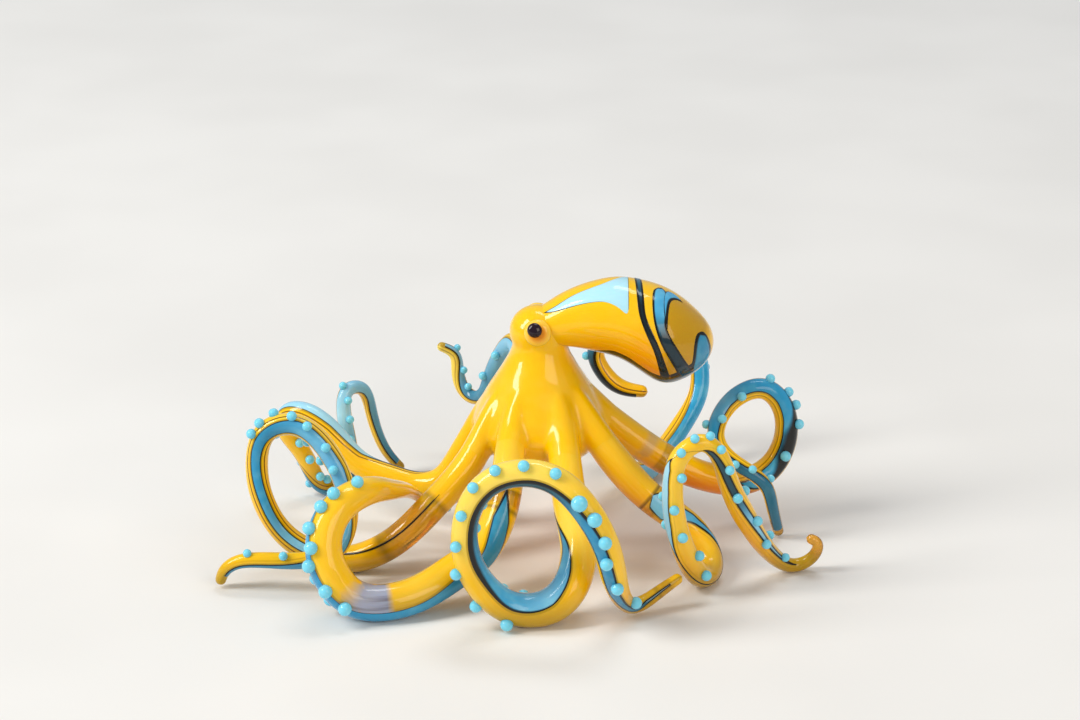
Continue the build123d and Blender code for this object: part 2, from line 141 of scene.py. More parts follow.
def eased(table, shares):
    """Numbers or directions of a table {share: value}, joined by lines and then rounded off
    by a running mean over a thirteenth of the length."""
    columns = np.atleast_2d(np.array(list(table.values()), float).T)
    width = max(3, len(shares) // EASING) | 1
    window = np.hanning(width + 2)[1:-1]
    window /= window.sum()
    rounded = []
    for column in columns:
        line = np.interp(shares, list(table), column)
        padded = np.pad(line, width // 2, mode="reflect", reflect_type="odd")
        rounded.append(np.convolve(padded, window, mode="valid"))
    return np.array(rounded[0] if len(rounded) == 1 else rounded).T


# %% [markdown]
# ## From a grid to a mesh
# One function closes any grid of rings into a solid: quads between the rings, and a fan to a
# pole at each end. It also stores per-point numbers, which the materials read to know where
# on the rod they are, so that a ribbon's dark edge follows the ribbon and not the camera.

# %% Grid to mesh
def placed(name, data):
    """A new object for a mesh, a lamp or a camera, in the scene."""
    piece = bpy.data.objects.new(name, data)
    bpy.context.collection.objects.link(piece)
    return piece


def ring_solid(name, grids, marks=None):
    """A closed mesh from grids of points (along, around, xyz) of one size, whose rings run
    anticlockwise about the way forward. Marks are named arrays (along, around). Whatever
    would lie below the table is pressed flat onto it, as the soft glass was."""
    points, faces, base = [], [], 0
    along, around = grids[0].shape[:2]
    for rings in grids:
        index = base + np.arange(along * around).reshape(along, around)
        after = np.roll(index, -1, axis=1)
        base += along * around + 2
        quads = np.stack([index[:-1], after[:-1], after[1:], index[1:]], axis=-1)
        faces += quads.reshape(-1, 4).tolist()
        faces += np.stack([np.full(around, base - 2), after[0], index[0]], axis=-1).tolist()
        faces += np.stack([np.full(around, base - 1), index[-1], after[-1]], axis=-1).tolist()
        points += [*rings.reshape(-1, 3), rings[0].mean(axis=0), rings[-1].mean(axis=0)]
    points = np.array(points)
    points[:, 2] = np.maximum(points[:, 2], 0)
    mesh = bpy.data.meshes.new(name)
    mesh.from_pydata(points.tolist(), [], faces)
    for mark, values in (marks or {}).items():
        values = np.broadcast_to(values, (along, around))
        flat = np.concatenate([values.ravel(), [values[0].mean(), values[-1].mean()]])
        flat = np.tile(flat, len(grids)).astype(np.float32)
        mesh.attributes.new(mark, "FLOAT", "POINT").data.foreach_set("value", flat)
    mesh.shade_smooth()
    return placed(name, mesh)


def settle(piece, glass, slot, *nodes):
    """Gives a finished piece its glass and its place on the body, and lets it stand for its CAD
    nodes. The slot is not used."""
    piece.data.materials.clear()
    piece.data.materials.append(GLASSES[glass])
    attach(piece, "root")
    if nodes:
        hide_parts(*nodes)


# %% [markdown]
# ## Shader maths as sentences
# Materials are easier to read as arithmetic than as a web of nodes. A small class wraps a
# socket, and the operators it overloads add the Math nodes; every other node comes from one
# method that sets the node's own settings first and its inputs after.

# %% Sockets that take arithmetic
class Socket:
    """A number in a shader, with the arithmetic written as Python."""

    def __init__(self, tree, output):
        self.tree, self.output = tree, output

    def math(self, operation, *values):
        return self.tree.node("ShaderNodeMath", {"operation": operation}, *values)

    def __add__(self, other): return self.math("ADD", self, other)
    def __radd__(self, other): return self.math("ADD", other, self)
    def __sub__(self, other): return self.math("SUBTRACT", self, other)
    def __rsub__(self, other): return self.math("SUBTRACT", other, self)
    def __mul__(self, other): return self.math("MULTIPLY", self, other)
    def __rmul__(self, other): return self.math("MULTIPLY", other, self)
    def __truediv__(self, other): return self.math("DIVIDE", self, other)

    def rises(self, low, high):
        """0 below low, 1 above high, and an eased step between them."""
        settings = {"interpolation_type": "SMOOTHSTEP"}
        return self.tree.node("ShaderNodeMapRange", settings, self, low, high, 0.0, 1.0)


class Glass:
    """One material's nodes: numbers, noise, colour mixes and the closing shader."""

    def __init__(self, name):
        self.material = bpy.data.materials.new(name)
        self.material.use_nodes = True
        self.nodes = self.material.node_tree.nodes
        self.links = self.material.node_tree.links
        self.nodes.clear()

    def node(self, kind, settings, *values, out=0, **named):
        """Adds a node, sets it up, then fills its inputs by order or by name."""
        node = self.nodes.new(kind)
        for key, value in settings.items():
            setattr(node, key, value)
        filled = list(enumerate(values))
        filled += [(key.replace("_", " "), value) for key, value in named.items()]
        for key, value in filled:
            if isinstance(value, Socket):
                self.links.new(value.output, node.inputs[key])
            elif value is not None:
                node.inputs[key].default_value = value
        return Socket(self, node.outputs[out])

    def held(self, value):
        """A number held between 0 and 1."""
        return self.node("ShaderNodeClamp", {}, value, 0.0, 1.0)

    def mark(self, name):
        """A number stored on the piece's points."""
        return self.node("ShaderNodeAttribute", {"attribute_name": name}, out="Fac")

    def place(self, axis=None):
        """Object coordinates in metres, or one of their three axes."""
        coordinates = self.node("ShaderNodeTexCoord", {}, out="Object")
        if axis is None:
            return coordinates
        return self.node("ShaderNodeSeparateXYZ", {}, coordinates, out=axis)

    def clouds(self, size, detail=2.0):
        """Noise whose cells are about this size in metres."""
        return self.node("ShaderNodeTexNoise", {}, Vector=self.place(), Scale=1 / size,
                         Detail=detail)

    def mix(self, factor, first, second):
        """A colour between two others, which the Mix node takes as its inputs 6 and 7."""
        values = (factor, *[None] * 5, first, second)
        return self.node("ShaderNodeMix", {"data_type": "RGBA"}, *values, out=2)

    def body(self, colour, roughness=0.3, bump=None, **constants):
        """A Principled shader; every keyword is a constant on the shader's own socket."""
        values = {"Base_Color": colour, "Roughness": roughness, **constants}
        if bump is not None:
            values["Normal"] = self.node("ShaderNodeBump", {}, Strength=DIMPLE_STRENGTH,
                                         Distance=DIMPLE, Height=bump)
        return self.node("ShaderNodeBsdfPrincipled", {}, **values)

    def blend(self, factor, first, second):
        """One shader giving way to another."""
        return self.node("ShaderNodeMixShader", {}, factor, first, second)

    def finish(self, shader):
        """Ends the nodes with this shader and gives the material."""
        surface = self.nodes.new("ShaderNodeOutputMaterial").inputs["Surface"]
        self.links.new(shader.output, surface)
        return self.material

    def polished(self, colour, roughness, grain, **inside):
        """The material of a fire-polished glass whose skin dimples at the scale of its grain."""
        dimples = self.clouds(grain) if grain else None
        return self.finish(self.body(colour, roughness, dimples, **FIRE_POLISH, **inside))


def paint(red, green, blue):
    """A colour as a screen shows it, 0 to 255, as linear values."""
    screen = np.array([red, green, blue]) / 255
    linear = np.where(screen <= 0.04045, screen / 12.92, ((screen + 0.055) / 1.055) ** 2.4)
    return (*linear.tolist(), 1.0)


# %% [markdown]
# ## The glasses
# Opaque rod glass has a soft body under a perfectly smooth fire-polished skin. The body is a
# diffuse shader with a little light let into it, and the skin is a coat. Two such layers give
# the milky depth with sharp highlights that one glossy layer lacks.

# %% Colours and glasses
GOLD = paint(254, 198, 0)
AMBER = paint(238, 138, 2)
ORANGE = paint(255, 112, 0)
OLIVE = paint(176, 140, 6)
LEMON = paint(246, 228, 112)
TURQUOISE = paint(44, 166, 220)
DEEP_TURQUOISE = paint(38, 80, 92)
PALE_TURQUOISE = paint(124, 216, 242)
HIGHLIGHT_ICE = paint(182, 232, 250)
REACTION = paint(10, 12, 10)
BROWN_THREAD = paint(104, 62, 8)
VIOLET_BLACK = paint(30, 8, 26)
CLEAR_AMBER = paint(236, 170, 60)
SMOKE = paint(150, 162, 190)
DARK_SMOKE = paint(72, 66, 88)
WINDOW_OLIVE = paint(186, 140, 4)
PUPIL_EDGE = paint(74, 26, 44)
MOUND_AMBER = paint(226, 140, 20)
MOUND_RIM_HIGHLIGHT = paint(255, 208, 70)
DIMPLE, DIMPLE_STRENGTH = 0.1 * MM, 0.25
GRAIN = 0.9 * MM
FINE_GRAIN = 0.5 * MM
PULLED_LENGTH, PULLED_WIDTH = 14.0, 1.1

FIRE_POLISH = dict(Coat_Weight=1.0, Coat_Roughness=0.03, Coat_IOR=1.38, IOR=1.5,
                   Specular_IOR_Level=0.1)
SOFT_BODY = dict(Subsurface_Weight=0.2, Subsurface_Radius=(1.0, 0.5, 0.1), Subsurface_Scale=0.001)
COOL_BODY = dict(Subsurface_Weight=0.15, Subsurface_Radius=(0.3, 0.8, 1.0), Subsurface_Scale=0.0007)


def golden_body(glass, warmth, streaks):
    """Golden glass that turns amber where warmth is 1, with pale streaks from the pulling."""
    base = glass.mix(streaks * 0.14, GOLD, LEMON)
    return glass.mix(warmth, base, AMBER)


def root_warmth(glass):
    """1 on the underside of the trunk and of the legs' roots, 0 higher up or farther out: a
    step in height times a step in the distance from the trunk's axis."""
    height, x, y = (glass.place(axis) for axis in "ZXY")
    reach = ((x - AXIS[0]) * (x - AXIS[0]) + (y - AXIS[1]) * (y - AXIS[1])).math("SQRT")
    under = 1 - height.rises(14.5 * MM, 20.5 * MM)
    return under * (1 - reach.rises(11 * MM, 19 * MM))


def rod_glass(glass):
    """The legs' golden rod. The numbers along, beside and the marks of the leg's own table
    give its pulled streaks, the brown thread next to the ribbon, pale lengths that are partly
    paler glass and partly a painted sheen, smoky lengths, dark rings, the places where the casing
    is clear, and painted shade that turns it olive near the table."""
    beside = glass.mark("beside")
    pulled = glass.node("ShaderNodeCombineXYZ", {}, glass.mark("along") / PULLED_LENGTH,
                        beside / PULLED_WIDTH, 0.5)
    streaks = glass.node("ShaderNodeTexNoise", {}, Vector=pulled, Scale=1.0, Detail=2.0)
    streaks = streaks.rises(0.42, 0.75)
    warmth = root_warmth(glass) + glass.mark("warm")
    colour = golden_body(glass, glass.held(warmth), streaks)
    # Pale lengths: partly paler glass, partly a painted sheen where highlights fall on the rod.
    colour = glass.mix(glass.mark("pale") * 0.8, colour, LEMON)
    # Painted shade: the rod turns olive towards the table, where its underside lies in shade.
    low = 1 - glass.place("Z").rises(0.5 * MM, 8 * MM)
    colour = glass.mix(low * 0.9, colour, OLIVE)
    line = beside.rises(0.38, 0.5) * (1 - beside.rises(0.6, 0.72)) * glass.mark("thread")
    colour = glass.mix(line, colour, BROWN_THREAD)
    colour = glass.mix((1 - beside.rises(0.0, 0.22)) * 0.8, colour, OLIVE)
    wisps = glass.mix(streaks, SMOKE, DARK_SMOKE)
    colour = glass.mix(glass.mark("smoke") * glass.clouds(3 * MM).rises(0.3, 0.42), colour, wisps)
    colour = glass.mix(glass.mark("ring"), colour, REACTION)
    solid = glass.body(colour, 0.3, glass.clouds(GRAIN), **FIRE_POLISH, **SOFT_BODY)
    clear = glass.body(glass.mix(glass.mark("smoke"), CLEAR_AMBER, SMOKE), 0.04, IOR=1.5,
                       Transmission_Weight=1.0)
    return glass.finish(glass.blend(glass.mark("clear"), solid, clear))


def ribbon_glass(glass):
    """The turquoise ribbon: the two glasses react where they meet, which draws a black line
    along both of its edges. It is deep teal where it thins; ice blue is a painted highlight
    laid on it where light falls."""
    inside = glass.mark("edge") / glass.mark("line")
    tone = glass.mix(glass.clouds(3 * MM).rises(0.4, 0.85) * 0.5, TURQUOISE, PALE_TURQUOISE)
    # Painted highlight: ice blue laid over the ribbon where highlights fall on it.
    tone = glass.mix(glass.mark("light"), tone, HIGHLIGHT_ICE)
    tone = glass.mix(glass.mark("deep"), tone, DEEP_TURQUOISE)
    line = 1 - inside.rises(0.7, 1.2)
    colour = glass.mix(line, tone, REACTION)
    colour = glass.mix(glass.mark("dark"), colour, REACTION)
    return glass.polished(colour, 0.25, GRAIN, **COOL_BODY)


def drop_glass(glass):
    """The pale drops, a little deeper in colour towards the foot."""
    colour = glass.mix(glass.mark("foot"), PALE_TURQUOISE, TURQUOISE)
    return glass.polished(colour, 0.22, FINE_GRAIN, **COOL_BODY)


def trunk_glass(glass):
    """The trunk's glass is golden on top and turns amber to orange on the underside."""
    streaks = glass.clouds(5 * MM).rises(0.45, 0.8)
    colour = golden_body(glass, root_warmth(glass), streaks)
    depth = 1 - glass.place("Z").rises(14 * MM, 17.5 * MM)
    colour = glass.mix(depth * 0.9, colour, ORANGE)
    return glass.polished(colour, 0.3, GRAIN, **SOFT_BODY)


def mantle_glass(glass):
    """The mantle is a warmer gold, amber below and olive in the window near its tip."""
    streaks = glass.clouds(6 * MM).rises(0.5, 0.8)
    colour = golden_body(glass, glass.mark("under"), streaks)
    colour = glass.mix(glass.mark("window"), colour, WINDOW_OLIVE)
    return glass.polished(colour, 0.3, GRAIN, **SOFT_BODY)


def dark_glass(glass):
    """The reaction glass of the bands: olive black with amber flecks along its edges."""
    flecks = glass.clouds(0.8 * MM, 4.0).rises(0.6, 0.68) * glass.mark("fleck")
    colour = glass.mix(flecks, REACTION, AMBER)
    return glass.polished(colour, 0.22, GRAIN)


def pupil_glass(glass):
    """Violet-black glass, paler at the very edge."""
    colour = glass.mix(glass.mark("foot").rises(0.5, 0.75), VIOLET_BLACK, PUPIL_EDGE)
    return glass.polished(colour, 0.2, None)


def mound_glass(glass):
    """The mound of lighter amber glass under the pupil, with a painted highlight that makes it
    palest at its rim.
    """
    colour = glass.mix(glass.mark("foot").rises(0.45, 0.95), MOUND_AMBER, MOUND_RIM_HIGHLIGHT)
    return glass.polished(colour, 0.25, None, **SOFT_BODY)


GLASSES = {fill.__name__: fill(Glass(fill.__name__)) for fill in (
    rod_glass, ribbon_glass, drop_glass, trunk_glass, mantle_glass, dark_glass, pupil_glass,
    mound_glass)}
print("glasses:", ", ".join(GLASSES))

# %% [markdown]
# ## The eight legs
# Each leg is one set of facts. Its route is a row of points in millimetres. Every other table
# runs along the leg, with percents of its length before the colons. Girth is the thickness as a
# share of a full rod, side the way in which the ribbon looks, in numbers of any size, ribbon its
# half-width in degrees, and turn the degrees by which it wanders round the rod. Line is the
# width of the black line on its edges in millimetres, and lean how much thicker it gets on the
# far edge. Deep and dark shade the ribbon from 0 to 1, and the highlight table paints ice blue
# on it from 0 to 1 where light falls. Thread, pale (partly paler glass, partly a painted sheen),
# warm, smoke, clear and ring shade the rod from 0 to 1. Drops are given in degrees round from
# the ribbon, and swell makes some of them larger.

# %% Facts of the legs
LEGS = {}
LEGS["front_right"] = dict(
    route=[(1, -2.4, 30.5), (2.7, -6.4, 26.4), (3.6, -9.2, 22.4), (4.2, -14.5, 18),
        (5.2, -22, 13.6), (6.1, -28.2, 9.9), (4.8, -31.9, 5.9), (1.9, -33.3, 3.3),
        (-1.8, -33.8, 2.6), (-5.9, -34.5, 4.1), (-9.5, -35.6, 8.4), (-11.4, -36.4, 13.4),
        (-11.6, -36.5, 18.8), (-10, -36.4, 23.4), (-6.6, -36.2, 26.5), (-1.6, -36.4, 27.5),
        (3, -37.4, 26.3), (6.8, -38.8, 22.8), (9.8, -39.2, 17.4), (11.2, -38, 12),
        (12.2, -35.6, 7.2), (15, -31.2, 2.1), (19.2, -28.8, 3.5), (22.6, -27.2, 5.3)],
    girth={0: 0.45, 6: 0.8, 13: 0.93, 33: 1.03, 45: 0.84, 54: 0.67, 72: 0.8, 84: 0.72, 92: 0.45,
        100: 0.3},
    side={0: (0, -10, 3), 20: (-10, -4, -2), 30: (-6, -3, 10), 45: (10, -4, 3), 55: (3, -4, -10),
        67: (-9, -6, -6), 75: (-5, -10, -2), 84: (-3, -10, -3), 90: (-1, -10, -6), 95: (4, -10, -1),
        100: (4, -10, 1)},
    ribbon={20: 0, 24: 10, 27: 20, 30: 34, 34: 50, 40: 50, 60: 52, 68: 48, 74: 38, 86: 34, 90: 24,
        96: 16, 100: 8},
    turn={40: 0, 43: 4, 53: 12, 60: 10, 66: 4, 70: 4, 76: 2, 86: 0, 90: -20, 94: -32, 100: -28},
    line={0: 0.35, 28: 0.4, 42: 0.75, 48: 1.3, 58: 1.2, 64: 0.95, 72: 0.8, 78: 0.5, 88: 0.45,
        92: 0.28, 100: 0.22},
    deep={20: 0.6, 27: 0.5, 30: 0, 42: 0, 50: 0.35, 56: 0.85, 68: 1, 75: 0.35, 88: 0.5, 93: 0.8},
    light={20: 0, 30: 0.2, 34: 0.4, 40: 0.1, 50: 0},
    pale={0: 0, 16: 0.1, 24: 0.5, 30: 0, 47: 0, 53: 0.7, 66: 0.8, 72: 0.2, 100: 0},
    warm={84: 0, 90: 0.9, 96: 0.7, 100: 0}, clear={96.5: 0, 97.2: 0.35, 98: 0.35, 98.5: 0},
    ring={95.8: 0, 96.3: 0.45, 96.8: 0},
    drops={36.7: -102, 39.7: -102, 43.1: -132, 47.9: -121, 51.6: -84, 55.4: -78, 58.6: -96,
        61.5: -102, 64.7: -96, 68.2: -90, 72.2: -48, 74.8: -48, 77.6: -36, 80.1: -12, 84.2: -24,
        90.4: -72},
    swell={72.2: 1.38, 74.8: 1.25, 77.6: 1.15, 80.1: 1.12, 84.2: 1.15, 90.4: 1.3})
LEGS["front_left"] = dict(
    route=[(-1.4, -2.6, 30.5), (-3.2, -5.9, 26.8), (-4.4, -8.6, 22.8), (-5, -12.6, 19.8),
        (-5.4, -16.4, 16.4), (-7, -20.4, 11.4), (-9.9, -24, 7.8), (-13.8, -26.8, 5.8),
        (-19.2, -29.8, 3.6), (-25.4, -31.6, 2.8), (-30.2, -31.8, 4.2), (-33.4, -31.4, 8.8),
        (-34, -29.8, 13.2), (-31.8, -26.8, 17.2), (-27.6, -22.2, 17.9), (-24.4, -16.2, 15.4),
        (-22, -10.4, 12.6), (-20, -6.2, 9.4), (-17.4, -4.6, 7.3), (-14.8, -4.8, 7.9),
        (-13.4, -5.2, 9.2)],
    girth={0: 0.45, 7.5: 0.76, 17: 0.9, 32.5: 1, 56: 1.05, 70: 0.9, 80: 0.62, 92: 0.3, 100: 0.2},
    side={0: (0, -10, 3), 19: (0, -10, 1), 42: (-2, -7, -8), 58: (-9, -3, -5), 70: (-10, 5, 2),
        84: (-2, 10, 6), 93: (0, 6, 10), 100: (-4, 4, 10)},
    ribbon={20: 0, 25: 34, 37: 52, 58: 54, 79: 46, 90: 20, 92: 4},
    line={0: 0.55, 30: 0.4, 100: 0.35},
    deep={20: 0.5, 26: 0.3, 33: 0.5, 40: 0.35, 60: 0.2, 90: 0.5},
    pale={0: 0, 12: 0.1, 16: 0.3, 20: 0, 36: 0, 42: 0.25, 50: 0, 60: 0.1},
    warm={56: 0, 62: 0.15, 75: 0.2, 100: 0},
    smoke={46: 0, 47: 0.95, 51: 0.9, 55: 0, 90: 0, 94: 0.3},
    clear={20: 0, 20.5: 0.7, 22.5: 0.7, 23: 0, 88: 0, 92: 0.85, 100: 0.9},
    ring={19.2: 0, 19.7: 0.5, 20.2: 0, 22.8: 0, 23.3: 0.7, 24: 0},
    drops={43.3: -40, 46.9: -6, 52.6: 48, 55.8: 48, 59.1: 36, 61.2: 59, 63.3: 48, 65.8: 66,
        67.7: 78, 71: 96, 97.4: 162})
LEGS["left"] = dict(
    route=[(-2.6, -1.5, 30.5), (-6.4, -3.6, 25.6), (-9.6, -5.2, 19.2), (-13.2, -8, 14.2),
        (-17.4, -11, 10.4), (-22.2, -13.8, 6.4), (-27.2, -15, 3.5), (-32.4, -14.6, 2.1),
        (-37.8, -13.8, 3.1), (-42.4, -13, 6.4), (-45.3, -12.8, 12), (-46.1, -12.8, 18),
        (-44.6, -12.8, 23.8), (-41, -12.8, 25.5), (-37.2, -13.4, 24.4), (-33.6, -14.6, 20.2),
        (-31.5, -16.4, 15.7), (-31, -18.4, 10.8), (-32.8, -20.6, 7), (-36.8, -21.8, 5.6),
        (-42.4, -21.8, 5.4), (-48.6, -21.4, 5), (-51.2, -21, 3), (-52, -20.6, 0.6)],
    girth={0: 0.42, 7: 0.76, 15: 0.86, 32: 0.84, 45: 0.64, 70: 0.6, 82: 0.5, 93: 0.44, 100: 0.3},
    side={0: (-4, -10, 3), 20: (-2, -10, 5), 38: (2, -8, 10), 50: (10, -9, 1), 58: (2, -9, -10),
        68: (-10, -9, -2), 76: (-6, -8, 2), 79: (-3, -9, 5), 82: (3, -9, 3), 85: (2, -10, -2),
        88: (0, -8, -6), 92: (0, -6, -8), 100: (8, -6, -4)},
    ribbon={20: 0, 22: 3, 36: 5, 39: 24, 46: 28, 56: 31, 64: 44, 72: 56, 100: 40},
    turn={36: 0, 40: -18, 48: -28, 58: -32, 64: -42, 72: -36, 78: 0},
    line={0: 0.45, 40: 0.3, 100: 0.35},
    deep={26: 0.3, 38: 0, 48: 0, 54: 0.15, 60: 0.45, 66: 0.1, 80: 0.2, 100: 0.6},
    light={26: 0, 32: 0.4, 42: 0.5, 50: 0, 60: 0, 68: 0.3, 100: 0}, dark={36: 0.9, 38.5: 0},
    thread={36: 0, 40: 1, 72: 1, 80: 0.4, 100: 0}, pale={60: 0, 64: 0.5, 72: 0.4, 80: 0.1, 100: 0},
    warm={20: 0, 25: 0.5, 35: 0.6, 42: 0.1, 100: 0}, clear={21.5: 0, 23.5: 0.75, 27.5: 0.75, 30: 0},
    ring={20.5: 0, 21.3: 0.55, 22.2: 0, 29: 0, 30: 0.5, 31: 0},
    drops={58.8: -96, 60: -108, 61.3: -140, 63.3: -96, 65.2: -72, 68.5: -60, 71.7: -30, 89.5: 96,
        94: 126})
LEGS["back_left"] = dict(
    route=[(-3, 0.6, 30.5), (-7.2, 1.4, 24.6), (-10.4, 1.6, 19), (-13.4, 1.4, 13.4),
        (-16.4, 1.8, 9), (-20.6, 3, 7.4), (-25.4, 4.4, 8.2), (-30.8, 5.9, 10.2), (-35.2, 7.4, 14.8),
        (-39.4, 9, 17.8), (-42.9, 10.9, 17.2), (-43.6, 12.4, 13.6), (-41.6, 13.2, 9.8),
        (-39.6, 13.9, 5.2), (-38.3, 14.4, 2.6), (-36.3, 15, 1.5), (-34.3, 15.8, 2.6),
        (-33.2, 16.4, 5.6), (-33.4, 17, 10), (-34.1, 17.9, 14.6), (-33.5, 19.4, 17.9),
        (-31.1, 21.4, 17.4), (-29.5, 22.4, 12), (-27.4, 22.8, 5.4), (-24.4, 23.8, 0.9)],
    girth={0: 0.42, 8: 0.74, 20: 0.82, 36: 0.72, 60: 0.54, 80: 0.44, 100: 0.3},
    side={0: (-4, -10, 3), 20: (2, -5, 10), 36: (-2, -6, 10), 46: (-8, -8, 3), 58: (-8, -6, -5),
        70: (4, -10, -2), 85: (8, -6, 5), 100: (9, -4, 5)},
    ribbon={20: 0, 22: 7, 32: 8, 36: 40, 45: 58, 60: 62, 68: 66, 72: 84, 82: 84, 86: 55, 100: 45},
    turn={20: 74, 26: 40, 32: 44, 38: 70, 42: 84, 48: 86, 58: 80, 64: 30, 70: -25, 80: -35, 84: 0,
        88: 20},
    line={100: 0.35},
    deep={20: 0.2, 30: 0, 50: 0, 62: 0.5, 68: 0.8, 72: 0.4, 78: 0, 86: 0.3, 100: 0.6},
    light={20: 0.7, 30: 0.9, 50: 0.7, 60: 0, 72: 0.2, 78: 0.8, 86: 0.4, 100: 0},
    dark={32: 0.85, 35: 0}, thread={0: 0, 20: 0.8, 60: 0.9, 100: 0.4},
    pale={80: 0, 90: 0.5, 100: 0.4},
    drops={55.1: -90, 58.3: -84, 61.6: -78, 63.3: -96, 74.2: -12, 77: 6, 80: -6, 81.5: -78})
LEGS["back"] = dict(
    route=[(-1, 2.8, 30.5), (-2, 6.4, 25.8), (-3.2, 10.8, 20.4), (-4.2, 15.6, 17.8),
        (-3.8, 20.4, 19.8), (-3.4, 24.6, 23.2), (-4.8, 28.2, 23.4), (-7.4, 30.2, 19.2),
        (-9, 31.3, 14.8), (-10.1, 32.1, 12), (-12, 33.5, 10.8), (-13.9, 34.9, 12),
        (-14.8, 35.8, 15), (-15.4, 36.2, 18), (-18.4, 36, 19.8)],
    girth={0: 0.42, 10: 0.74, 30: 0.78, 55: 0.62, 75: 0.46, 88: 0.42, 100: 0.28},
    side={20: (-10, -2, 0), 45: (-10, -3, -1), 52: (-9, -4, -4), 58: (-5, -8, -1), 70: (-4, -9, 1),
        80: (-3, -5, 7), 86: (5, -8, 4), 92: (8, -4, 2), 100: (5, -5, 9)},
    ribbon={20: 0, 28: 50, 50: 64, 72: 66, 86: 44, 100: 36}, line={100: 0.35},
    deep={20: 0, 55: 0.1, 70: 0.45, 80: 0.6, 90: 0.1, 100: 0.3},
    light={20: 0.2, 50: 0.5, 60: 0.5, 70: 0.2, 80: 0.2, 90: 0.6, 100: 0.8}, thread={100: 0.5},
    pale={76: 0, 84: 0.5, 95: 0.8, 100: 1}, drops={59.7: 12, 68.3: 36, 82.9: 24, 89.6: 6, 94.9: 42})
LEGS["back_right"] = dict(
    route=[(1.6, 2.2, 30.5), (4.2, 5.2, 25.4), (7.2, 8.8, 19.6), (10.4, 12.4, 13),
        (13.4, 15.8, 6.8), (16.6, 19.2, 1.9), (20.8, 22.8, 3.5), (25, 26.4, 8.2), (28, 29.8, 12.6),
        (28.4, 31.8, 17.4), (26.6, 33, 22.4), (22.4, 33.5, 24.9), (17, 33.5, 25.4),
        (12.4, 33.2, 23.8), (10, 32.4, 20.4), (11, 31.6, 17), (14.2, 30.9, 14), (19.2, 30.2, 13.2)],
    girth={0: 0.42, 10: 0.76, 30: 0.78, 55: 0.6, 78: 0.5, 93: 0.54, 100: 0.36},
    side={0: (5, 5, 8), 25: (8, -2, 10), 50: (10, -8, -2), 62: (4, -8, 10), 78: (-10, -6, 4),
        90: (-6, -7, -8), 100: (0, -7, -10)},
    ribbon={26: 0, 32: 44, 40: 62, 46: 78, 62: 78, 80: 56, 86: 60, 100: 46},
    line={80: 0.4, 86: 0.7, 100: 0.8}, deep={26: 0.4, 40: 0.2, 50: 0, 80: 0, 86: 0.5, 100: 0.9},
    light={26: 0.3, 40: 0.5, 48: 0}, dark={84: 0, 89: 0.9, 100: 0.95}, thread={0: 0.7, 100: 0.9},
    warm={84: 0, 88: 0.4, 100: 0.2},
    drops={55: 120, 61: 118, 67: 110, 73: 100, 79: 80, 83: 60, 87.6: 40})
LEGS["right"] = dict(
    route=[(3, 0.3, 30.5), (6.4, 0.8, 26.2), (10, 1, 21.8), (15, 1, 17.4), (20.4, 0.8, 13.6),
        (26, 1, 10.6), (31.6, 2.2, 8.6), (36.2, 3.8, 8.3), (39.8, 5.2, 10.6), (41.7, 6.1, 15.2),
        (41, 6.4, 20.4), (37.8, 6, 23.8), (33.8, 5.2, 23.2), (30.6, 3.6, 20.4), (29.5, 0.8, 17.6),
        (31, -2.4, 15.4), (34.6, -3.9, 13.2), (37.6, -4.2, 10.6), (38.8, -4, 7), (40.4, -1.8, 0.5)],
    girth={0: 0.45, 8: 0.8, 16: 0.92, 38: 0.86, 52: 0.7, 68: 0.56, 85: 0.44, 100: 0.3},
    side={0: (3, -10, 3), 30: (2, -8, 10), 45: (6, -10, -3), 55: (9, -8, 3), 66: (-2, -7, 10),
        78: (-10, -7, 2), 88: (3, -9, 6), 100: (5, -9, 2)},
    ribbon={38: 0, 43: 44, 55: 54, 74: 54, 79: 40, 85: 48, 90: 66, 100: 66},
    turn={40: 0, 45: -22, 54: -22, 60: 0, 70: 0, 76: -26, 80: -8, 84: 20, 90: 18, 100: 26},
    lean={0: 0, 42: 0.5, 46: 4, 49: 8.5, 53: 8, 58: 2, 62: 0}, line={0: 0.4, 100: 0.35},
    deep={50: 0, 62: 0.2, 74: 0.35, 84: 0.7, 100: 0.75}, light={66: 0, 70: 0.3, 76: 0},
    thread={30: 0, 40: 0.6, 100: 0.5}, warm={0: 0, 20: 0.3, 30: 1.3, 40: 1.2, 50: 0},
    smoke={20: 0, 21: 0.3, 22: 0.3, 23: 0},
    clear={24.4: 0, 24.8: 0.45, 25.8: 0.45, 26.2: 0, 96: 0, 97: 0.8, 100: 0.9},
    ring={24: 0, 24.4: 0.5, 24.8: 0, 25.8: 0, 26.2: 0.5, 26.6: 0, 95.5: 0, 96.2: 0.7, 97: 0},
    drops={49.3: -24, 54.6: 18, 57.2: 48, 59.4: 54, 62.6: 42, 67.2: -42, 73.2: -54, 82.6: 0,
        85.1: -18, 88.5: -72})
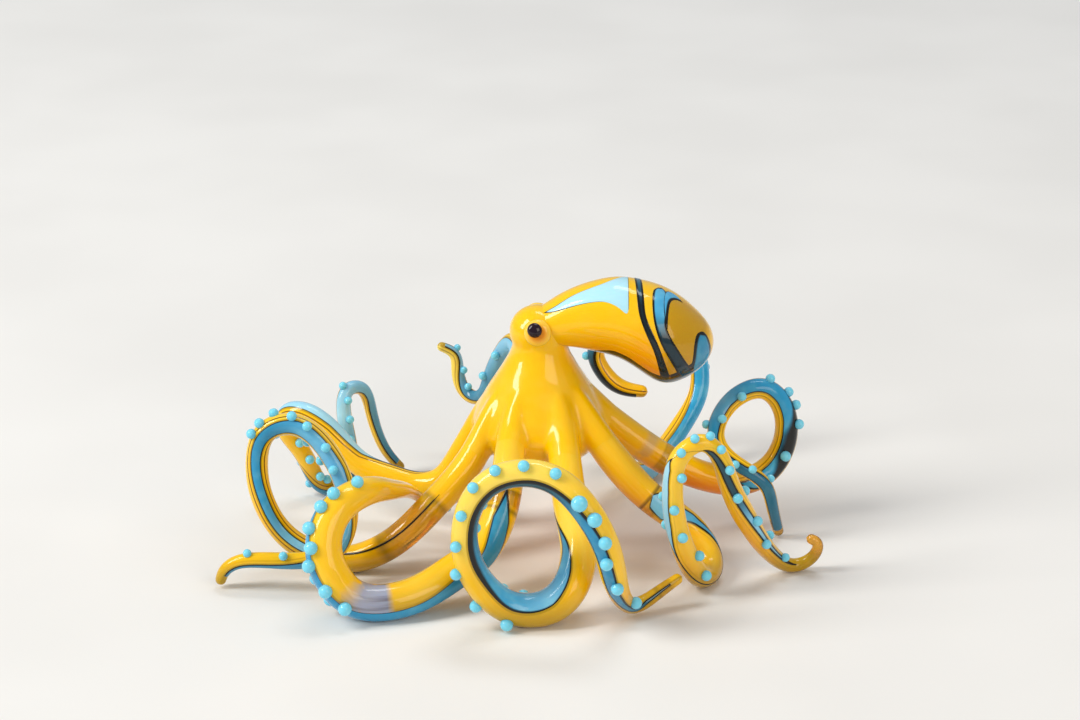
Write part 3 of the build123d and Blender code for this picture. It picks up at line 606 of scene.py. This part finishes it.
LEGS["right_front"] = dict(
    route=[(2.5, -1.9, 30.5), (5.8, -4.4, 26.2), (9, -6.8, 21.4), (12.7, -9.4, 17),
        (16.4, -11.4, 13.4), (20.2, -12.4, 10.4), (24.2, -13.2, 7.6), (27, -15, 4.6),
        (27.7, -18, 2.2), (26, -21.4, 2.6), (23.6, -23.6, 7), (21.5, -24.6, 14.2),
        (21.1, -24.4, 21), (22.4, -23.8, 25), (25.6, -23.1, 26.7), (28.4, -22.5, 24.2),
        (30.2, -21.8, 19), (32.6, -20.6, 13.4), (35.4, -18.9, 8), (38.6, -16.4, 3.2),
        (41.8, -14.9, 1.15), (44.8, -14.8, 2.7), (45.4, -15, 5.2), (43.6, -15, 6.2)],
    girth={0: 0.45, 8: 0.78, 15: 0.92, 28: 0.84, 38: 0.72, 55: 0.58, 66: 0.48, 78: 0.68, 88: 0.5,
        95: 0.34, 100: 0.28},
    side={0: (2, -10, 3), 24: (2, -8, 8), 30: (5, -6, 6), 36: (10, 0, 1), 39: (7, -5, -4),
        42: (0, -9, -5), 46: (-6, -6, -3), 56: (-10, -4, 2), 66: (0, -4, 10), 76: (10, -4, 5),
        90: (6, -3, 7), 93: (0, -5, 10), 96: (-7, -6, 4), 100: (-3, -5, -8)},
    ribbon={22.5: 0, 23.3: 40, 25.5: 56, 27.5: 36, 30: 20, 34: 14, 37: 4, 45.5: 4, 48: 14, 51: 36,
        56: 46, 59: 34, 60.5: 0.5, 64.5: 0.5, 66.2: 22, 70: 27, 76: 24, 90: 16, 93: 4},
    turn={22: 0, 23.5: 20, 26: 24, 29: 0, 60: 0, 61.5: 40, 64: 105, 67: 82, 70: 66, 76: 50, 82: 35,
        90: 30},
    line={0: 0.5, 32: 0.45, 40: 0.3, 64: 0.3, 70: 0.4, 100: 0.35},
    deep={24: 0, 34: 0.1, 42: 0.5, 50: 0.1, 60: 0, 64: 0.8, 74: 0.9, 79: 0, 86: 0.3, 100: 0},
    light={22: 0.4, 26: 0.3, 30: 0.1, 50: 0.6, 60: 0.8, 66: 0.2, 74: 0, 80: 0.6, 100: 0.4},
    dark={60: 0, 64: 0.5, 74: 0.4, 78: 0},
    thread={0: 0, 34: 0.2, 48: 0.2, 60: 0, 70: 0.2, 90: 0.2, 100: 0},
    pale={0: 0, 48: 0.2, 60: 0.3, 66: 0, 100: 0.1},
    warm={0: 0, 14: 0.2, 22: 0.9, 26: 0.4, 36: 0.8, 44: 0.5, 52: 0, 70: 0, 80: 0.5, 90: 0.6,
        100: 0.1},
    clear={22.9: 0, 23.2: 0.5, 24.3: 0.5, 24.7: 0, 95: 0, 97: 0.7, 100: 0.9},
    ring={22.2: 0, 22.6: 0.9, 23: 0},
    drops={41.8: 48, 45.2: 102, 49.3: 72, 53.6: 66, 58.3: 102, 61.5: 36, 63.7: 12, 65.1: -6,
        66.8: 24, 70: 36, 74.5: 54, 79.6: 24, 84.1: 48, 89.4: 18})
for facts in LEGS.values():
    for key, table in facts.items():
        if key != "route":
            facts[key] = {percent / 100: value for percent, value in table.items()}
print("legs to draw:", ", ".join(LEGS))

# %% [markdown]
# ## Carrying a frame along a leg
# A ribbon and its drops need to know which way is up on a rod that twists. At every station
# the wanted ribbon direction is laid square to the route, and the third direction is the
# cross product of the two, so that an angle of zero always means the way the ribbon looks.

# %% The rod's own coordinates
STATIONS = 420
SIDES = 56
WOBBLE = 0.012
WOBBLE_LENGTH = 7 * MM
NO_RIBBON = 0.02


class Rod:
    """A leg's middle line, its thickness and its two cross directions at every station, and
    the half-width of its ribbon and the turn of its middle as angles."""

    def __init__(self, name, facts):
        middle, length = even_route(facts["route"], STATIONS)
        self.name, self.facts, self.length = name, facts, length * MM
        self.shares = np.linspace(0, 1, STATIONS)
        self.middle = AXIS + middle * MM
        forward = np.gradient(self.middle, axis=0)
        self.forward = forward / np.linalg.norm(forward, axis=1)[:, None]
        towards = eased(facts["side"], self.shares)
        towards -= self.forward * (towards * self.forward).sum(axis=1)[:, None]
        self.ribbon_way = towards / np.linalg.norm(towards, axis=1)[:, None]
        self.cross_way = np.cross(self.forward, self.ribbon_way)
        wobble = 1 + WOBBLE * np.sin(self.shares * self.length / WOBBLE_LENGTH + len(name))
        self.radius = ROD * eased(facts["girth"], self.shares) * wobble
        self.turn = np.radians(self.mark("turn"))
        reach = np.radians(self.mark("ribbon", left=0, right=0))
        self.half = np.maximum(reach, NO_RIBBON)

    def mark(self, key, **ends):
        """A number at every station from the leg's table of that name, joined by lines, or 0."""
        table = self.facts.get(key, {0: 0})
        return np.interp(self.shares, list(table), list(table.values()), **ends)

    def out(self, station, angle):
        """The outward direction at a station and an angle in radians from the ribbon."""
        return (np.cos(angle)[..., None] * self.ribbon_way[station]
                + np.sin(angle)[..., None] * self.cross_way[station])

    def skin(self, station, angle, lift=0.0):
        """The point on the rod's surface, raised by lift."""
        reach = self.radius[station] + lift
        return self.middle[station] + np.asarray(reach)[..., None] * self.out(station, angle)

    def at(self, share):
        """The nearest station to a share of the length."""
        return min(round(share * (STATIONS - 1)), STATIONS - 1)


RODS = [Rod(name, facts) for name, facts in LEGS.items()]
for rod in RODS:
    thin, thick = rod.radius.min() / MM, rod.radius.max() / MM
    print(f"{rod.name}: {rod.length / MM:.0f} mm long, radius {thin:.1f} to {thick:.1f} mm")

# %% [markdown]
# ## The rods
# A leg is a circle carried along its route. The tip is closed as a drop: over the last
# millimetre or so the radius falls along a quarter of a circle, the shape that surface
# tension gives to the end of a melted rod.

# %% Rods
NEARLY_CLOSED = 0.998
ROD_MARKS = ("clear", "smoke", "warm", "pale", "thread", "ring")
FAR_BESIDE = 9
FIRST_SHARE, FIRST_SIZE = 0.05, 0.3
WARM_LEVEL, WARM_SLOPE = 0.55, 0.8
STREAK_SHIFT = 40


def rounded_end(shares, tip):
    """1 along the rod, then falling to 0 at the end along a quarter circle."""
    back = np.clip((shares - (1 - tip)) / tip, 0, NEARLY_CLOSED)
    return np.sqrt(1 - back ** 2)


angle = circle(SIDES)[None, :]
for rod in RODS:
    station = np.arange(STATIONS)[:, None]
    tip = rod.radius[-1] / rod.length
    start = np.clip(rod.shares / FIRST_SHARE, FIRST_SIZE, 1)
    shrink = (rounded_end(rod.shares, tip) * start - 1) * rod.radius
    rings = rod.skin(station, angle + 0 * station, shrink[:, None])
    marks = {key: rod.mark(key)[:, None] for key in ROD_MARKS}
    outward = np.cos(angle) * rod.ribbon_way[:, 2:] + np.sin(angle) * rod.cross_way[:, 2:]
    marks["warm"] = marks["warm"] * np.clip(WARM_LEVEL - WARM_SLOPE * outward, 0, 1)
    half, turn = rod.half[:, None], rod.turn[:, None]
    away = np.abs((angle - turn + math.pi) % (2 * math.pi) - math.pi)
    gap = (away - half) * rod.radius[:, None] / MM
    marks["beside"] = np.clip(gap, -1, 6) + FAR_BESIDE * (half <= 1.5 * NO_RIBBON)
    marks["along"] = rod.shares[:, None] * rod.length / MM + STREAK_SHIFT * len(rod.name)
    settle(ring_solid(f"{rod.name}_rod", [rings], marks), "rod_glass", "amber_glass",
           f"{rod.name}_arm_root", f"{rod.name}_arm_core")
print("legs:", len(LEGS), "with", STATIONS * SIDES * 2, "triangles each")

# %% [markdown]
# ## The ribbons
# A ribbon is a flat length of turquoise melted into the rod, standing a few hundredths of a
# millimetre proud. Its section is a shallow arch over the rod's skin with a keel below it,
# and the number "edge" stored on it is the distance to its nearer edge in millimetres.

# %% Ribbons
RIBBON_MARKS = ("line", "deep", "light", "dark")
ARCH = 17
KEEL = 7
PROUD = 0.06 * MM
SINK = 0.5 * MM
EDGE_DIP = 0.02 * MM
DEEPEST = 0.6
BARE_TIP = 8


def section(proud):
    """A section's points over the arch and back along the keel: how far across they lie, from
    -1 to 1, which of them belong to the arch, and how far they stand off the skin."""
    across = np.concatenate([np.linspace(-1, 1, ARCH), np.linspace(1, -1, KEEL)[1:-1]])[None, :]
    over = np.arange(across.size)[None, :] < ARCH
    return across, over, np.where(over, proud * (1 - across ** 4) - EDGE_DIP, -SINK)


def ribbon_rings(rod, run):
    """Sections of a ribbon at a run of stations: an arch from edge to edge over the skin, then
    back below it, and the distance to the edge. Lean makes the far edge seem nearer, which
    thickens its dark line."""
    across, over, lift = section(PROUD)
    lift = np.maximum(lift, -DEEPEST * rod.radius[run])
    half = rod.half[run]
    inner, outer = (1 + across) * half, (1 - across) * half / (1 + rod.mark("lean")[run])
    edge = np.where(over, np.minimum(inner, outer) * rod.radius[run] / MM, 0)
    return rod.skin(run, across * half + rod.turn[run], lift), edge


for rod in RODS:
    table = rod.facts["ribbon"]
    last = min(rod.at(max(table)), STATIONS - BARE_TIP)
    run = np.arange(rod.at(min(table)) + 1, last)[:, None]
    marks = {key: rod.mark(key)[run] for key in RIBBON_MARKS}
    rings, marks["edge"] = ribbon_rings(rod, run)
    settle(ring_solid(f"{rod.name}_ribbon", [rings], marks), "ribbon_glass", "turquoise_glass",
           f"{rod.name}_arm_strip")
print("ribbons:", len(LEGS))

# %% [markdown]
# ## The drops
# Each drop is a bead of pale glass touched onto the leg. It keeps most of its round shape and
# only its foot spreads, so the profile is a sphere that stands a third of its radius above
# the skin. A drop that sits well to one side of the ribbon has a twin across it, a little
# farther along, but only on the far side of the leg, where the camera can't see.

# %% Drops
DROP_RINGS = 8
DROP_SIDES = 16
DROP_START = (0.3, 0.5, 0.8)
DROP_SIZE, DROP_GROWTH = 0.42 * MM, 0.24
RISE = 0.33
BEAD_FOOT, BEAD_TOP = 0.92, 0.12
TWIN_FROM, TWIN_STEP = 42, 0.011
ANY_SIDE, FAR_SIDE = -2, 0.15


def bead(foot, outward, radius):
    """Rings of a bead: a sphere round a middle that lies a third of the radius outside."""
    turn = np.linspace(BEAD_FOOT, BEAD_TOP, DROP_RINGS) * math.pi
    profile = np.stack([RISE + np.cos(turn), np.sin(turn)], axis=1) * radius
    return turned(profile, foot, outward, DROP_START, DROP_SIDES)


total = 0
deeper_at_foot = np.linspace(1, 0, DROP_RINGS)[:, None] ** 2
for rod in RODS:
    swell = rod.facts.get("swell", {})
    row = [(share, degrees, swell.get(share, 1.0), ANY_SIDE)
           for share, degrees in rod.facts["drops"].items()]
    twins = [(share + TWIN_STEP, -degrees, scale, FAR_SIDE)
             for share, degrees, scale, side in row if abs(degrees) > TWIN_FROM]
    beads = []
    for share, degrees, scale, side in row + twins:
        station, angle = rod.at(share), np.radians(degrees)
        outward = rod.out(station, angle)
        size = (DROP_SIZE + DROP_GROWTH * rod.radius[station]) * scale
        foot = rod.skin(station, angle)
        if foot[2] + outward[2] * size * RISE > size and outward[1] >= side:
            beads.append(bead(foot, outward, size))
    total += len(beads)
    settle(ring_solid(f"{rod.name}_drops", beads, {"foot": deeper_at_foot}), "drop_glass",
           "dot_glass", f"{rod.name}_arm_dots")
print("drops:", total)

# %% [markdown]
# ## The trunk and the head
# A maker gathers the trunk and pulls the legs out of it, so there is no seam between them,
# only a soft valley between two neighbours. The cone, a short stub of each leg and the ball
# of the head are joined by a fine voxel remesh and smoothed: that leaves one skin with
# fillets of the size that surface tension leaves.

# %% Trunk with the shoulders of the legs
TRUNK_PROFILE = [(14.9, 0.0), (14.9, 5.0), (15.9, 8.4), (18.0, 10.6), (20.8, 11.3), (23.9, 10.2),
                 (27, 8.5), (30.2, 6.5), (32.9, 5.0), (35.5, 4.2), (36.0, 0.0)]
VOXEL = 0.3 * MM
SMOOTHING_PASSES = 26
STUB_END = 0.2
STUB_TAPER, TAPER_FROM, TAPER_OVER = 0.7, 0.55, 0.45
STUB_PROUD = 0.12 * MM
STUB_SIDES = 32
UP, FRONT = np.array([0.0, 0.0, 1.0]), np.array([0.0, -1.0, 0.0])
CONE_RINGS, CONE_SIDES = 60, 72
BALL_RINGS, BALL_SIDES = 40, 64
BALL_FOOT, BALL_TOP = 0.02, 0.98
HEAD_MIDDLE = bench((-0.4, 0.0, 36.8))
HEAD_RADIUS, HEAD_HEIGHT = 4.7 * MM, 4.3 * MM


def melted(name, parts, voxel, passes):
    """Joins closed pieces into one smooth skin by a voxel remesh and a smoothing pass."""
    for part in parts:
        part.select_set(True)
    bpy.context.view_layer.objects.active = parts[0]
    bpy.ops.object.join()
    whole = bpy.context.view_layer.objects.active
    remesh = whole.modifiers.new("remesh", "REMESH")
    remesh.mode, remesh.voxel_size, remesh.use_smooth_shade = "VOXEL", voxel, True
    smooth = whole.modifiers.new("smooth", "SMOOTH")
    smooth.factor, smooth.iterations = 0.5, passes
    graph = bpy.context.evaluated_depsgraph_get()
    mesh = bpy.data.meshes.new_from_object(whole.evaluated_get(graph))
    mesh.shade_smooth()
    bpy.data.objects.remove(whole)
    return placed(name, mesh)


bpy.ops.object.select_all(action="DESELECT")
cone = evenly(np.array(TRUNK_PROFILE), CONE_RINGS) * MM
parts = [ring_solid("cone", [turned(cone, AXIS, UP, FRONT, CONE_SIDES)])]
for rod in RODS:
    last = rod.at(STUB_END)
    station = np.arange(0, last)[:, None]
    way = rod.shares[:last] / STUB_END
    taper = 1 - np.clip((way - TAPER_FROM) / TAPER_OVER, 0, 1) ** 2 * STUB_TAPER
    angle = circle(STUB_SIDES)[None, :] + 0 * station
    lift = (rod.radius[:last] * (taper - 1) + STUB_PROUD)[:, None]
    parts.append(ring_solid(f"{rod.name}_stub", [rod.skin(station, angle, lift)]))
turn = np.linspace(BALL_FOOT, BALL_TOP, BALL_RINGS) * math.pi
ball = np.stack([-np.cos(turn) * HEAD_HEIGHT, np.sin(turn) * HEAD_RADIUS], axis=1)
parts.append(ring_solid("ball", [turned(ball, HEAD_MIDDLE, UP, FRONT, BALL_SIDES)]))
trunk = melted("trunk_and_head", parts, VOXEL, SMOOTHING_PASSES)
settle(trunk, "trunk_glass", "amber_glass", "trunk", "head")
print("trunk and head:", len(trunk.data.polygons), "faces")

# %% [markdown]
# ## The mantle
# The bag is a blown pear lying on its side. Its length is one parameter and the angle round
# it the other, measured from the top towards the near side, so that a band on it is a few
# points in those two numbers.

# %% Mantle
MANTLE_LENGTH = 28.6
MANTLE_STATIONS = [
    (0.0, 37.35, 3.4), (0.1, 38.5, 4.2), (0.2, 39.15, 5.0), (0.31, 39.4, 5.8), (0.44, 39.2, 6.6),
    (0.56, 38.0, 7.4), (0.68, 36.4, 8.0), (0.79, 35.6, 7.2), (0.9, 35.1, 5.1), (0.97, 34.9, 2.9),
    (1.0, 34.85, 0.05),
]
BELLY_SHARE, BELLY_SPREAD = 0.62, 0.12
WINDOW_START, WINDOW_END, WINDOW_MOST = 0.68, 0.985, 0.8
OPENING, CLOSING = 0.05, 0.04
NEAR_SLOPE, NEAR_LEVEL = 4, 0.2
TIP_CROWDING, LAST_SHARE = 1.6, 0.9995
UNDER_LEVEL, UNDER_SLOPE, UNDER_BELLY, UNDER_RISE = 0.08, 0.75, 0.3, 3
MANTLE_RINGS, MANTLE_SIDES = 220, 120
THINNEST = 0.02


def pear(share, angle, lift=0.0):
    """A point of the pear: its middle rises and falls with the share, its radius swells and
    closes, and the angle turns from the top towards the near side."""
    share = np.asarray(share, float)
    table = np.array(MANTLE_STATIONS)
    bulge = np.sqrt(np.clip(1 - share, 1e-6, 1))
    knots = np.sqrt(np.clip(1 - table[:, 0], 1e-6, 1))[::-1]
    shape = spring_curve(knots, table[::-1, 1:], bulge.ravel())
    height = shape[:, 0].reshape(share.shape)
    radius = np.clip(shape[:, 1].reshape(share.shape), THINNEST, None)
    reach = radius * MM + lift
    x = np.broadcast_to(share * MANTLE_LENGTH * MM, np.broadcast(share, angle).shape)
    y = -reach * np.sin(angle)
    z = height * MM + reach * np.cos(angle)
    return AXIS + np.stack(np.broadcast_arrays(x, y, z), axis=-1)


share = 1 - (1 - np.linspace(0.0, LAST_SHARE, MANTLE_RINGS)[:, None]) ** TIP_CROWDING
angle = math.pi - circle(MANTLE_SIDES)[None, :]
rings = pear(share + 0 * angle, angle + 0 * share)
belly = np.exp(-((share - BELLY_SHARE) / BELLY_SPREAD) ** 2)
under = np.clip(UNDER_LEVEL - UNDER_SLOPE * np.cos(angle) + UNDER_BELLY * belly, 0, 1)
under = under * np.clip(share * UNDER_RISE, 0, 1)
window = np.clip((share - WINDOW_START) / OPENING, 0, 1)
window = window * np.clip((WINDOW_END - share) / CLOSING, 0, 1)
window = window * np.clip(np.sin(angle) * NEAR_SLOPE + NEAR_LEVEL, 0, 1) * WINDOW_MOST
mantle = ring_solid("mantle_bag", [rings], {"under": under, "window": window})
settle(mantle, "mantle_glass", "amber_glass", "mantle")
print("mantle:", len(mantle.data.polygons), "faces")

# %% [markdown]
# ## Inlays on the mantle
# Each inlay is a patch between two border lines on the pear, with the same arch over the skin
# as the legs' ribbons have. A row holds the percent of the mantle's length and the degrees
# round it, first for one border and then for the other. Fade and fleck tell between which
# shares of the patch it turns black or gets its amber flecks. The hook is a thin trail that
# the CAD has no node for, so it stands for none.

# %% Inlays
INLAY_STATIONS = 90
BLACKEST = 0.94
BEYOND_THE_END = (2, 3)


def inlay_rings(rows, lean, lift):
    """Sections of a patch between two border lines on the pear. A lean above 1 thickens the
    dark line on the first border, and one below 1 that on the second."""
    rows = np.array(rows) / [100, 1, 100, 1]
    stations = np.linspace(0, 1, INLAY_STATIONS)
    border = spring_curve(np.linspace(0, 1, len(rows)), rows, stations)
    across, over, height = section(lift)
    across = (1 + across) / 2
    share = border[:, 0:1] * (1 - across) + border[:, 2:3] * across
    angle = np.radians(border[:, 1:2] * (1 - across) + border[:, 3:4] * across)
    outline = pear(border[:, [0, 2]], np.radians(border[:, [1, 3]]))
    width = np.linalg.norm(outline[:, 1] - outline[:, 0], axis=-1)[:, None] / MM
    along = run_along(outline.mean(axis=1))[:, None] / MM
    sides = np.minimum(across / max(lean, 1), (1 - across) * min(lean, 1)) * width
    ends = np.minimum(along, along[-1] - along) + 0 * across
    return pear(share, angle, height), np.where(over, np.minimum(sides, ends), 0)


INLAYS = {}
# The saddle is almost wholly ice blue: a painted reflection of the sky on the top of the mantle.
INLAYS["saddle_patch"] = dict(
    rows=[(2, 33, 2.5, 35), (6.2, 32, 6, 44), (10.3, 30, 11, 49), (17, 23, 17, 50),
        (25.5, 17, 25, 49), (34.3, 11, 34, 49), (40, 3, 40, 53), (45, -8, 45, 60),
        (49, -20, 48.8, 66), (50.5, -16, 50.2, 58)],
    slot="turquoise_glass", line=0.2, light=0.95)
# The first band is black reaction glass; the fade leaves its top deep teal, a painted reflection of
# the sky.
INLAYS["first_band"] = dict(
    rows=[(53.5, -50, 57.5, -50), (53.7, -22, 58, -24), (54.2, 8, 58.5, 3), (54.9, 39, 59.2, 36),
        (56.5, 62, 60.6, 59), (60.8, 82, 65.4, 78), (65, 99, 69.8, 97), (67.8, 122, 73.5, 121),
        (69, 138, 75.2, 138), (70, 152, 76.5, 152)],
    slot="dark_glass", line=0.42, deep=0.6, fade=(0.1, 0.36))
INLAYS["second_band"] = dict(
    rows=[(66.8, 5, 70, 0), (64.6, 13, 72.6, 8), (63.6, 25, 73, 22), (63.4, 45, 72.4, 45),
        (65, 66, 72.2, 62), (68.4, 83, 77.1, 80), (72.5, 97, 81.5, 96), (76.9, 116, 85.2, 113),
        (79, 135, 88.5, 130), (80, 150, 90, 146)],
    slot="turquoise_glass", line=0.5, light=0.1, fade=(0.34, 0.5))
INLAYS["hook_line"] = dict(
    rows=[(71.5, 62, 72.2, 62), (70, 44, 72.7, 46), (69.7, 28, 73.7, 31), (70.5, 14, 75, 22),
        (72.2, 4, 76.8, 17), (74.8, 0, 78.8, 14), (77.5, 2, 80.6, 13), (80, 8, 81.5, 13)],
    slot="turquoise_glass", line=0.34, light=0.1, lean=0.6, lift=0.1)
INLAYS["tip_spot"] = dict(
    rows=[(92.2, 50, 93.7, 49), (89, 60, 96.2, 57), (87.4, 78, 98, 78), (86.8, 98, 98.6, 98),
        (86, 116, 98.6, 120), (85.2, 134, 98, 140), (84.6, 150, 97, 156)],
    slot="turquoise_glass", line=0.72, deep=0.38, lean=1.5)
INLAYS["belly_patch"] = dict(
    rows=[(28, 153, 28, 180), (34.9, 138, 35, 200), (40.6, 128, 41, 210), (45.7, 127, 46, 212),
        (51.4, 127, 52, 214), (57.5, 129, 58, 214), (63.6, 128, 64, 212), (69.3, 125, 70, 210),
        (75.4, 119, 76, 208), (82.2, 112, 83, 205), (88, 104, 90, 200), (92, 99, 97, 196)],
    glass="dark_glass", slot="dark_glass", line=0.9, fleck=(0.5, 0.7))
stations = np.linspace(0, 1, INLAY_STATIONS)[:, None]
for name, facts in INLAYS.items():
    rings, edge = inlay_rings(facts["rows"], facts.get("lean", 1.0), facts.get("lift", 0.08) * MM)
    marks = {key: facts.get(key, 0.0) for key in ("line", "light", "deep")}
    marks["edge"] = edge[:, ::-1]
    for mark, key, most in (("dark", "fade", BLACKEST), ("fleck", "fleck", 1.0)):
        start, full = facts.get(key, BEYOND_THE_END)
        marks[mark] = most * np.clip((stations - start) / (full - start), 0, 1)
    patch = ring_solid(f"{name}_glass", [rings[:, ::-1]], marks)
    nodes = () if name == "hook_line" else (name,)
    settle(patch, facts.get("glass", "ribbon_glass"), facts["slot"], *nodes)
print("inlays:", ", ".join(INLAYS))

# %% [markdown]
# ## The eyes
# An eye is a flat button of lighter glass pressed onto the head with a black bead set in it.
# Both are turned forms about a line that leans a little upwards from the side of the head.
# For each eye are given its side, the two leans in degrees and how far the bead sits forward.

# %% Eyes
BUTTON_RINGS, BUTTON_SIDES, BUTTON_POLE = 24, 48, 0.01


def button_rings(middle, outward, profile):
    """Rings of a button about a line, whose profile is a smooth curve through a few points."""
    profile = np.array(profile)
    run = run_along(profile)
    smooth = spring_curve(run, profile, np.linspace(0, run[-1], BUTTON_RINGS))
    smooth[:, 1] = np.maximum(smooth[:, 1], BUTTON_POLE)
    return turned(smooth * MM, middle, outward, (1.0, 0.0, 0.0), BUTTON_SIDES)


MOUND_PROFILE = [(-1.6, 1.2), (-0.6, 2.1), (0.1, 2.2), (0.6, 1.9), (0.85, 1.4), (0.85, 0.7),
                 (0.8, 0.02)]
PUPIL_PROFILE = [(-0.2, 0.9), (0.5, 1.25), (0.95, 1.15), (1.3, 0.75), (1.45, 0.02)]
MOUND_REACH = 2.1 * MM
EYE_SINK = 0.55 * MM
EYES = {"near": (-1, (15, 21), -0.45), "far": (1, (20, 20), 0.0)}
for name, (way, leans, shift) in EYES.items():
    for kind, profile, glass, slot, node, lean in (
            ("mound", MOUND_PROFILE, "mound_glass", "amber_glass", f"{name}_eye_mound", leans[0]),
            ("pupil", PUPIL_PROFILE, "pupil_glass", "pupil_glass", f"{name}_pupil", leans[1])):
        lean = math.radians(lean)
        outward = np.array([0.0, way * math.cos(lean), math.sin(lean)])
        seat = HEAD_MIDDLE + outward * (HEAD_RADIUS - EYE_SINK)
        seat[0] += shift * MM * (kind == "pupil")
        rings = button_rings(seat, outward, profile)
        reach = np.linalg.norm(rings - rings.mean(axis=1, keepdims=True), axis=-1) / MOUND_REACH
        button = ring_solid(f"{name}_eye_{kind}_glass", [rings], {"foot": np.clip(reach, 0, 1)})
        settle(button, glass, slot, node)
print("eyes: two mounds and two pupils")

# %% [markdown]
# ## Table, light and camera
# The table is a plain pale plane. A tall narrow lamp on the left draws the long bright streak
# that runs down the trunk and the legs, a wide peach one on the right gives the broad soft
# streak beside it, and a lamp behind lights the tops of the curls. The camera looks down
# 22 degrees through a long lens.

# %% Table and lamps
SHEET = 3.0
LIT_POINT = (0, 0, 0.02)


def pale_table(glass):
    """A pale table: matt, with a faint cloudiness so that it isn't a single flat colour."""
    patches = glass.clouds(60 * MM).rises(0.3, 0.7)
    colour = glass.mix(patches, (0.80, 0.79, 0.77, 1), (0.84, 0.83, 0.81, 1))
    return glass.finish(glass.body(colour, 0.6, Specular_IOR_Level=0.1))


mesh = bpy.data.meshes.new("table")
corners = np.array([(-1, -1, 0), (1, -1, 0), (1, 1, 0), (-1, 1, 0)]) * SHEET
mesh.from_pydata(corners.tolist(), [], [(0, 1, 2, 3)])
table = placed("table", mesh)
table.data.materials.append(pale_table(Glass("pale_table")))

world = bpy.data.worlds.new("studio")
bpy.context.scene.world = world
world.use_nodes = True
sky = world.node_tree.nodes["Background"].inputs
sky["Color"].default_value, sky["Strength"].default_value = (0.93, 0.96, 1.0, 1.0), 0.4


def soft_lamp(name, place, size, power, colour):
    """An upright area lamp of a width and a height that looks at the figurine."""
    lamp = bpy.data.lights.new(name, "AREA")
    lamp.shape, lamp.energy, lamp.color = "RECTANGLE", power, colour
    lamp.size, lamp.size_y = size
    piece = placed(name, lamp)
    piece.location = place
    piece.rotation_mode = "QUATERNION"
    piece.rotation_quaternion = (Vector(LIT_POINT) - Vector(place)).to_track_quat("-Z", "Y")


soft_lamp("window_left", (-0.88, -0.24, 0.75), (0.30, 0.85), 11.0, (1.0, 0.985, 0.94))
soft_lamp("wall_right", (0.57, -0.76, 0.45), (0.60, 0.50), 3.2, (1.0, 0.84, 0.66))
soft_lamp("sky_behind", (0.18, 0.40, 1.20), (0.60, 0.25), 3.0, (0.92, 0.96, 1.0))

# %% Camera
LENS = 90.0
SENSOR = 36.0
ELEVATION = math.radians(22.0)
DISTANCE = 446.3 * MM
TARGET = bench((0.0, 0.0, 31.5))
camera_data = bpy.data.cameras.new("camera")
camera_data.lens, camera_data.sensor_width = LENS, SENSOR
camera = placed("camera", camera_data)
camera.location = TARGET + DISTANCE * np.array([0.0, -math.cos(ELEVATION), math.sin(ELEVATION)])
camera.rotation_euler = (math.pi / 2 - ELEVATION, 0.0, 0.0)
bpy.context.scene.camera = camera
bpy.context.scene.view_settings.view_transform = "Standard"
